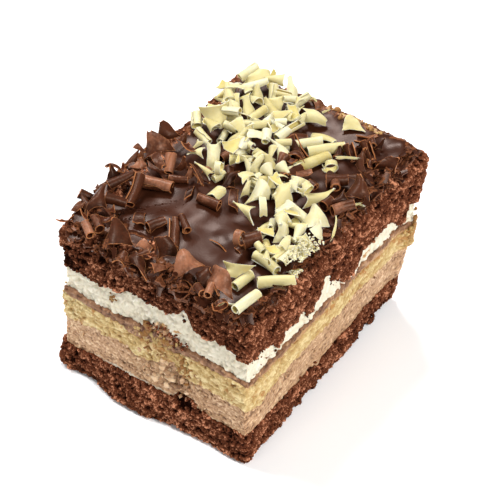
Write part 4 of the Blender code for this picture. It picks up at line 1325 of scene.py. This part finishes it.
# Rows of thin loops: place in plan, heading of the axis, length along it, diameter, turn, roll, pitch.
whiteLoops = (
    (1, 8, -70, 2.0, 4.4, 400, 90, 5), (23, -16.6, 40, 2.2, 4.6, 400, 100, 8),
    (-6, -13, -52, 2.4, 7.5, 190, 182, 0), (-5.5, 4, 0, 5.5, 4.4, 200, 180, 0),
    (7, -18.6, 80, 3.0, 4.4, 430, 60, 20),
)
milkLoops = ((-20.5, -15.5, -80, 2.2, 5.0, 330, 100, 10), (-43, -25.5, 60, 1.5, 4.4, 380, 80, 12))
# Rows of slivers: place in plan, heading, length, height, and how far they lean over.
whiteSlivers = ((25.5, -21, -62, 9, 2.2, 35), (43, -1.3, -30, 3.5, 1.2, 40), (14.5, -8.5, -20, 8, 1.8, 60))
milkSlivers = (
    (-5.5, 11.5, 60, 12, 2.2, 65), (27.5, -27.5, 45, 5, 2, 60), (-21.8, -9, 80, 8, 1.6, 45),
    (-40.5, -22.5, 55, 6, 1.6, 60), (6.5, -8, 60, 8, 1.8, 62),
)
# Rows of small pieces strewn into the gaps: a line in plan, how far to each side of it, how many, their
# largest length, and how high over the glaze the heap may already be where one is dropped. The limits are
# the largest X and Y.
strewLimits = (43.5, 34)
whiteStrewn = (
    (((-16, -28), (6, -6), (20, 8), (38, 26)), (6, 7, 9.5, 8), 260, 7.5, 4.3),
    (((30, 2), (38, 12), (41, 26)), (4, 5, 4), 50, 7.5, 4.2),
    (((6, -2), (18, 8), (30, 18)), (5, 7, 7), 70, 8, 4.2),
    (((-18, -25), (-10, -31)), (5, 4), 30, 5.5, 4.0),
    (((14, 22), (24, 24), (32, 27)), (3, 3.5, 3), 24, 7, 4.2),
)
milkStrewn = (
    (((-39, -24), (-40, -6), (-38, 14)), (4, 4, 4), 30, 5, 2.2),
    (((-38, 24), (-16, 28), (4, 24)), (4, 5, 7), 60, 6, 2.6),
    (((-40, 31), (-20, 32.5), (4, 32.5)), (2, 1.5, 1.5), 14, 4, 1.5),
    (((10, -28), (26, -24), (40, -18)), (4, 6, 3), 36, 5, 2.2),
    (((0, 10), (14, -10), (26, -4)), (5, 5, 4), 40, 6, 2.6),
)


def strew(kinds, line, halfWidth, count, longest, upTo):
    # small tubes, horns and flakes with seeded places along a line, close to it more often than far
    line = np.array(line, float)
    step = np.linspace(0, 1, len(line))
    for _ in range(count):
        t = shavingRng.random()
        x, y = np.interp(t, step, line[:, 0]), np.interp(t, step, line[:, 1])
        turn, far = between(0, 2 * math.pi), np.interp(t, step, halfWidth) * math.sqrt(shavingRng.random())
        x, y = x + far * math.cos(turn), y + far * math.sin(turn)
        i, j = int(round((x - heapX[0]) / heap["cell"])), int(round((y - heapY[0]) / heap["cell"]))
        if heapHeight[i, j] > glaze["height"] + upTo or abs(x) > strewLimits[0] or abs(y) > strewLimits[1]:
            continue
        heading = between(0, 360)
        long = longest * between(0.4, 1)
        choice = shavingRng.random()
        pitch = between(-12, 18)
        if choice < 0.2:
            form = {"length": long, "radii": (1.2, between(0.9, 1.5)), "turn": between(250, 420)}
            layDown(kinds[0], x, y, heading, form, pitch, between(0, 360), 0.3)
        elif choice < 0.45:
            form = {"length": long, "radii": (between(1.5, 2.4), 0.45), "turn": between(140, 260)}
            layDown(kinds[1], x, y, heading, {**form, "torn": 0.08}, pitch, between(120, 240), 0.3)
        else:
            radius = between(2.2, 6)
            form = {
                "length": long, "radii": (radius, radius * 0.7), "turn": long * 50 / radius,
                "point": between(0.2, 0.95), "lean": between(-0.8, 0.8), "bow": between(-0.5, 1.8),
                "twist": between(-60, 60), "torn": 0.1, "rows": 6,
            }
            roll = shavingRng.choice([0, 180, 180]) + between(-25, 25)
            layDown(kinds[1], x, y, heading, form, pitch, roll, 0.3)


def layTubes(kind, rows):
    for x, y, heading, length, wide in rows:
        form = {
            **tubeForm, "length": length, "radii": (wide / 2, wide / 2 * between(0.75, 1)),
            "turn": between(370, 460), "bow": between(-0.3, 0.5), "lean": between(-0.6, 0.6),
            "point": shavingRng.choice([0, 0, 0.2]), "twist": between(-50, 50),
        }
        layDown(kind, x, y, heading, form, between(-3, 5), between(60, 300))


def laySheets(kind, rows):
    for x, y, heading, length, wide, turn, point, roll, pitch in rows:
        radius = wide / math.radians(turn)
        form = {
            **flakeForm, "length": length, "radii": (radius, radius * 0.85), "turn": turn, "point": point,
            "lean": between(-0.7, 0.7), "bow": between(-0.2, 1.8), "twist": between(-45, 45),
        }
        layDown(kind, x, y, heading, form, pitch, roll)


def layLoops(kind, rows):
    for x, y, heading, length, wide, turn, roll, pitch in rows:
        form = {**loopForm, "length": length, "radii": (wide / 2, wide / 2 * 0.9), "turn": turn}
        layDown(kind, x, y, heading, form, pitch, roll)


def laySlivers(kind, rows):
    for x, y, heading, length, tall, over in rows:
        form = {**sliverForm, "length": length, "radii": (tall * 1.4, tall * 1.2), "bow": between(-1, 1)}
        layDown(kind, x, y, heading, form, 3, over + 90)


# Broken plates of glaze near the left edge: place in plan, heading, length, width, roll, pitch.
glazePlates = (
    (-43.2, 5.5, 70, 8, 5, 176, 5), (-42.5, -3, 100, 7, 5, 184, -6), (-43.3, -12, 75, 7, 5, 172, 8),
    (-42.8, 14, 60, 7, 5, 186, -5), (-43.6, -20, 95, 6, 4.5, 170, 10), (-39.5, 1.5, 40, 5, 4, 190, 6),
    (-43.5, 27, 50, 5, 4, 180, 10), (-38.5, -31.5, 10, 6, 4, 176, -8), (-30, -34, 0, 6, 3.5, 188, 5),
    (-42.5, -29, 60, 6, 4, 170, 6), (-37, 30, 30, 8, 5, 180, 4), (-30, 31.2, 10, 8, 5, 184, -4),
    (-23, 31.6, -4, 8, 5, 176, 5), (-16, 31.6, 6, 8, 5, 182, -3), (-9, 31.8, 0, 8, 5, 178, 4),
    (-2, 32, 4, 8, 5, 184, 3),
)
# Rows of shards strewn along the front and left edges, and of grated bits at the front of the white heap:
# how many, and the limits of X, Y and length.
shardStrips = (
    (120, (-40, 44), (-34.8, -31), (1.5, 4.5)), (110, (-45.2, -38.5), (-33, 28), (1.5, 5.0)),
    (30, (18, 34), (-34, -27), (2.0, 4.5)),
)
gratedStrip = (130, (-20.5, -7), (-35.0, -30.0), (0.6, 1.4))


def strewShards(kind, thick, count, acrossX, acrossY, sizes):
    # small torn scraps, each bent a little
    for _ in range(count):
        long = between(*sizes)
        form = {
            **shardForm, "thick": thick, "length": long, "radii": (long * 1.5, long * 1.2),
            "turn": between(20, 45), "point": between(0, 0.8), "lean": between(-0.8, 0.8),
        }
        x, y = between(*acrossX), between(*acrossY)
        layDown(kind, x, y, between(0, 360), form, between(-35, 35), 180 + between(-35, 35), 0.35)


for x, y, heading, length, wide, roll, pitch in glazePlates:
    form = {**plateForm, "length": length, "radii": (wide * 4, wide * 4)}
    layDown("glazePlates", x, y, heading, form, pitch, roll, 0.45)
for strip in shardStrips:
    strewShards("glazePlates", 0.5, *strip)
layTubes("milkCurls", milkTubes)
layTubes("whiteCurls", whiteTubes)
laySheets("milkPetals", milkSheets)
laySheets("whitePetals", whiteSheets)
layRolls("milkCurls", milkRolls)
layRolls("whiteCurls", whiteRolls)
layLeaves("milkPetals", milkLeaves)
layLeaves("whitePetals", whiteLeaves)
layLoops("milkLoops", milkLoops)
layLoops("whiteLoops", whiteLoops)
laySlivers("milkLoops", milkSlivers)
laySlivers("whiteLoops", whiteSlivers)
for row in milkStrewn:
    strew(("milkCurls", "milkPetals"), *row)
for row in whiteStrewn:
    strew(("whiteCurls", "whitePetals"), *row)
strewShards("whitePetals", 0.3, *gratedStrip)
for kind in ("whiteCurls", "whitePetals", "whiteLoops"):
    finishShavings(kind, whiteChocolate, ["white_shavings"])
finishShavings("glazePlates", glazeMaterial, [])
milkNodes = ["milk_shavings_left", "milk_shavings_back", "milk_shavings_right"]
for kind in ("milkCurls", "milkPetals", "milkLoops"):
    finishShavings(kind, milkChocolate, milkNodes)
print("shavings made")


# Crumbs: a grid of the cut faces, a row for each mm of height and five columns to a mm.
wallColumns = 1580
wallHeights = np.arange(0, 61, 1.0)[:, None] + np.zeros(wallColumns)
wallPlace, wallOut = outline(wallHeights)
crumbRng = np.random.default_rng(12)
cornersEach = 12  # of a crumb


def wallColumn(s):
    # the grid's column nearest to a distance along the outline
    return (s / aroundAll * wallColumns).round().astype(int) % wallColumns


def onWall(s, z, stand):
    # points at a distance s along the outline, at height z, standing out of the face
    row, column = np.clip(z.round().astype(int), 0, len(wallHeights) - 1), wallColumn(s)
    flat = wallPlace[row, column] + wallOut[row, column] * np.asarray(stand)[..., None]
    return np.concatenate([flat, z[:, None]], 1)


def lumps(centres, sizes):
    # rough twelve-cornered lumps: the corners of an icosahedron, each moved by a seeded amount, stretched
    # unevenly
    gold = (1 + math.sqrt(5)) / 2
    flat = np.array([(-1, gold), (1, gold), (-1, -gold), (1, -gold)])
    planes = (np.insert(flat, 2, 0, 1), np.insert(flat, 0, 0, 1), np.insert(flat[:, ::-1], 1, 0, 1))
    corners = np.concatenate(planes)
    corners = corners / np.linalg.norm(corners[0])
    close = np.linalg.norm(corners[:, None] - corners[None], axis=-1) < 1.1
    faces = []
    for i, j, k in itertools.combinations(range(cornersEach), 3):
        if close[i, j] and close[j, k] and close[i, k]:
            outwards = np.dot(np.cross(corners[j] - corners[i], corners[k] - corners[i]), corners[i]) > 0
            faces.append((i, j, k) if outwards else (i, k, j))
    count = len(centres)
    grid = (count, cornersEach)
    rough = corners[None] * crumbRng.uniform(0.65, 1.25, (*grid, 1)) + crumbRng.normal(0, 0.12, (*grid, 3))
    rough = rough * crumbRng.uniform(0.7, 1.3, (count, 1, 3))
    points = centres[:, None] + rough * np.asarray(sizes)[:, None, None]
    allFaces = np.array(faces)[None] + cornersEach * np.arange(count)[:, None, None]
    return points.reshape(-1, 3), allFaces.reshape(-1, 3)


def scatterLumps(name, batches, material, tones=(0.25, 0.75)):
    # one piece of many lumps; each has its own tone
    centres, sizes = (np.concatenate([batch[k] for batch in batches]) for k in (0, 1))
    points, faces = lumps(centres, sizes)
    points[:, 2] = np.maximum(points[:, 2], 0)
    tone = np.repeat(crumbRng.uniform(*tones, len(centres)), cornersEach)
    tone = tone + crumbRng.uniform(-0.12, 0.12, len(points))
    newPiece(name, points, faces, material, [], {"tone": tone})


def allRound(count):
    # distances along the outline, spread all round
    return crumbRng.uniform(0, aroundAll, count)


def wallCrumbs(count, low, high, smallest, largest, stand=0.0):
    # crumbs strewn on the face between two heights
    s = allRound(count)
    sizes = crumbRng.uniform(smallest, largest, count)
    z = crumbRng.uniform(low, high, count)
    return onWall(s, z, stand + crumbRng.uniform(-0.25, 0.25, count)), sizes


def spotCrumbs(count, s, z, halfWidth, halfHeight, smallest, largest, stand=0.0):
    # crumbs gathered round one place on the face
    away = crumbRng.normal(0, 0.5, (count, 2)) * np.array([halfWidth, halfHeight])
    sizes = crumbRng.uniform(smallest, largest, count)
    stand = stand + crumbRng.uniform(-0.3, 0.3, count)
    return onWall(s + away[:, 0], np.clip(z + away[:, 1], 0.6, 60), stand), sizes


wornRim = {"low": 57.2, "rise": 1.3, "wide": 2.5}  # the top sponge's upper edge, where crumbs lie


def rimCrumbs(count, deepest, smallest, largest):
    # crumbs on the worn upper edge, from the cut face inwards
    s = allRound(count)
    sizes = crumbRng.uniform(smallest, largest, count)
    inwards = deepest * crumbRng.random(count)
    height = wornRim["low"] + wornRim["rise"] * smoothStep(0, wornRim["wide"], inwards)
    return onWall(s, height + 0.4 * sizes, -0.4 - inwards), sizes


def edgeCrumbs(count, level, spread, smallest, largest, stand):
    # crumbs that have fallen from a layer's edge: most lie close below it
    s = allRound(count)
    z = levelLine(level, wallColumns)[wallColumn(s)] - crumbRng.exponential(spread, count) + 0.4
    sizes = crumbRng.uniform(smallest, largest, count)
    return onWall(s, np.clip(z, 0.5, 60), stand + crumbRng.uniform(-0.2, 0.1, count)), sizes


def boxCrumbs(count, *limits):
    # places spread between limits along X, Y and Z
    return np.stack([crumbRng.uniform(low, high, count) for low, high in limits], 1)


# Crumbs under the teeth of the base's edge, which reach down to the ground.
teeth = (19, 25, 31, 39, 48, 66, 76, left + 21, left + 40)
underTeeth = np.concatenate([np.full(5, s) + crumbRng.normal(0, 0.8, 5) for s in teeth])
count = len(underTeeth)
scatterLumps("cocoaCrumbs", [
    rimCrumbs(900, 3.2, 0.3, 0.8), wallCrumbs(350, 47.5, 57, 0.25, 0.7, -0.2),
    wallCrumbs(300, 1, 12, 0.25, 0.7, -0.2), edgeCrumbs(420, "whiteTop", 0.5, 0.25, 0.6, -0.9),
    edgeCrumbs(40, "whiteTop", 3.0, 0.15, 0.3, -0.8), edgeCrumbs(250, "baseTop", 0.5, 0.25, 0.5, -0.3),
    spotCrumbs(160, left + 1, 57.0, 5, 1.6, 0.5, 1.2, 0.3),
    spotCrumbs(70, left + 38, 38.6, 7, 1.8, 0.25, 0.6, -0.2),
    spotCrumbs(16, left + 43, 36.5, 3, 2.5, 0.3, 0.7, -0.3), spotCrumbs(16, 8, 41, 5, 4, 0.15, 0.3, -0.8),
    (onWall(underTeeth, 0.9 + crumbRng.uniform(0, 0.8, count), np.full(count, 0.1)), np.full(count, 0.8)),
], cocoaSpongeMaterial)
scatterLumps("nutCrumbs", [
    spotCrumbs(120, left + 36, 20, 11, 5, 0.6, 1.6, -0.7),
    spotCrumbs(14, left + 37, 38.5, 4, 3, 0.4, 0.9, -0.6), wallCrumbs(350, 14.5, 24, 0.15, 0.4, -0.4),
], nutCreamMaterial, (0.15, 1.0))
scatterLumps("yellowCrumbs", [
    wallCrumbs(500, 25.5, 33, 0.25, 0.55, -0.25), spotCrumbs(26, left + 2, 29, 3, 5, 0.3, 0.7, 0.1),
], yellowSpongeMaterial, (0.3, 1.0))
backEdge = boxCrumbs(80, (43.8, 46), (-22, 6), (59.6, 61))
leftEdge = boxCrumbs(12, (-44.5, -39), (-8, 24), (59, 60))
scatterLumps("paleCrumbs", [
    (backEdge[:40], crumbRng.uniform(0.3, 1.0, 40)), (leftEdge, crumbRng.uniform(0.2, 0.4, 12)),
], nutCreamMaterial, (0.1, 0.9))
scatterLumps("caramelCrumbs", [
    (backEdge[40:], crumbRng.uniform(0.4, 1.1, 40)), spotCrumbs(60, left + 36, 34, 9, 3, 0.7, 1.7, -0.9),
    spotCrumbs(30, left + 45, 28, 3, 5, 0.5, 1.2, -0.5),
    spotCrumbs(9, left + 18, 40.5, 1.2, 1.6, 0.3, 0.6, -0.6), spotCrumbs(50, 89, 30, 4, 5, 0.4, 1.1, 1.8),
], yellowSpongeMaterial, (-0.1, 0.6))
print("crumbs made")


# Stage, light and camera.
stage = {"floorSize": 2.4, "floorColour": (0.985, 0.99, 1.0), "worldLight": 0.24}
# The camera: the direction it looks from, its distance and lens in mm, and the point it looks at.
view = {"azimuth": -53.6, "elevation": 44.5, "distance": 553.0, "lens": 129.6, "aim": (6.0, 0.4, 30.0)}
# Each light: azimuth and elevation it comes from, its distance and size in metres, its power in watts and its
# colour.
lights = {
    "keyLight": (-10, 44, 1.1, 0.4, 10.6, (1.0, 0.985, 0.965)),
    "sideLight": (-165, 50, 1.1, 0.24, 7.5, (1.0, 1.0, 0.99)),
    "backLight": (134, 58, 1.1, 0.24, 9.0, (1.0, 1.0, 1.0)),
    "fillLight": (-85, 42, 1.2, 0.7, 2.3, (0.98, 0.99, 1.0)),
}


def fromDirection(azimuth, elevation):
    # the direction towards azimuth and elevation: azimuth 0 is the front, and it turns anticlockwise
    a, e = math.radians(azimuth), math.radians(elevation)
    return np.array([math.sin(a) * math.cos(e), -math.cos(a) * math.cos(e), math.sin(e)])


def aimed(thing, place, target):
    # a lamp or camera at a place, turned towards its target
    thing.location = place
    away = place - target
    thing.rotation_euler = (math.acos(away[2] / np.linalg.norm(away)), 0, math.atan2(away[0], -away[1]))


def makeFloor():
    half = stage["floorSize"] / 2
    corners = [(-half, -half, 0), (half, -half, 0), (half, half, 0), (-half, half, 0)]
    mesh = bpy.data.meshes.new("floor")
    mesh.from_pydata(corners, [], [(0, 1, 2, 3)])
    material = bpy.data.materials.new("floorPaper")
    material.use_nodes = True
    paper = {"Base Color": (*stage["floorColour"], 1), "Roughness": 0.8, "Specular IOR Level": 0.1}
    feed(material.node_tree, material.node_tree.nodes["Principled BSDF"].inputs, paper)
    mesh.materials.append(material)
    putObject("floor", mesh)


def makeLights(target):
    for name, (azimuth, elevation, distance, size, power, colour) in lights.items():
        data = bpy.data.lights.new(name, "AREA")
        data.shape = "DISK"
        data.size, data.energy, data.color = size, power, colour
        aimed(putObject(name, data), target + fromDirection(azimuth, elevation) * distance, target)
    world = bpy.data.worlds.new("studio")
    world.use_nodes = True
    background = {"Color": (1, 1, 1, 1), "Strength": stage["worldLight"]}
    feed(world.node_tree, world.node_tree.nodes["Background"].inputs, background)
    bpy.context.scene.world = world


def makeCamera(target):
    data = bpy.data.cameras.new("camera")
    data.lens = view["lens"]
    data.sensor_width = 36
    data.clip_start = 0.01
    camera = putObject("camera", data)
    aimed(camera, target + fromDirection(view["azimuth"], view["elevation"]) * view["distance"] * mm, target)
    bpy.context.scene.camera = camera


aim = np.array(view["aim"]) * mm
makeFloor()
makeLights(aim)
makeCamera(aim)
bpy.context.scene.view_settings.view_transform = "Standard"
print("stage set")
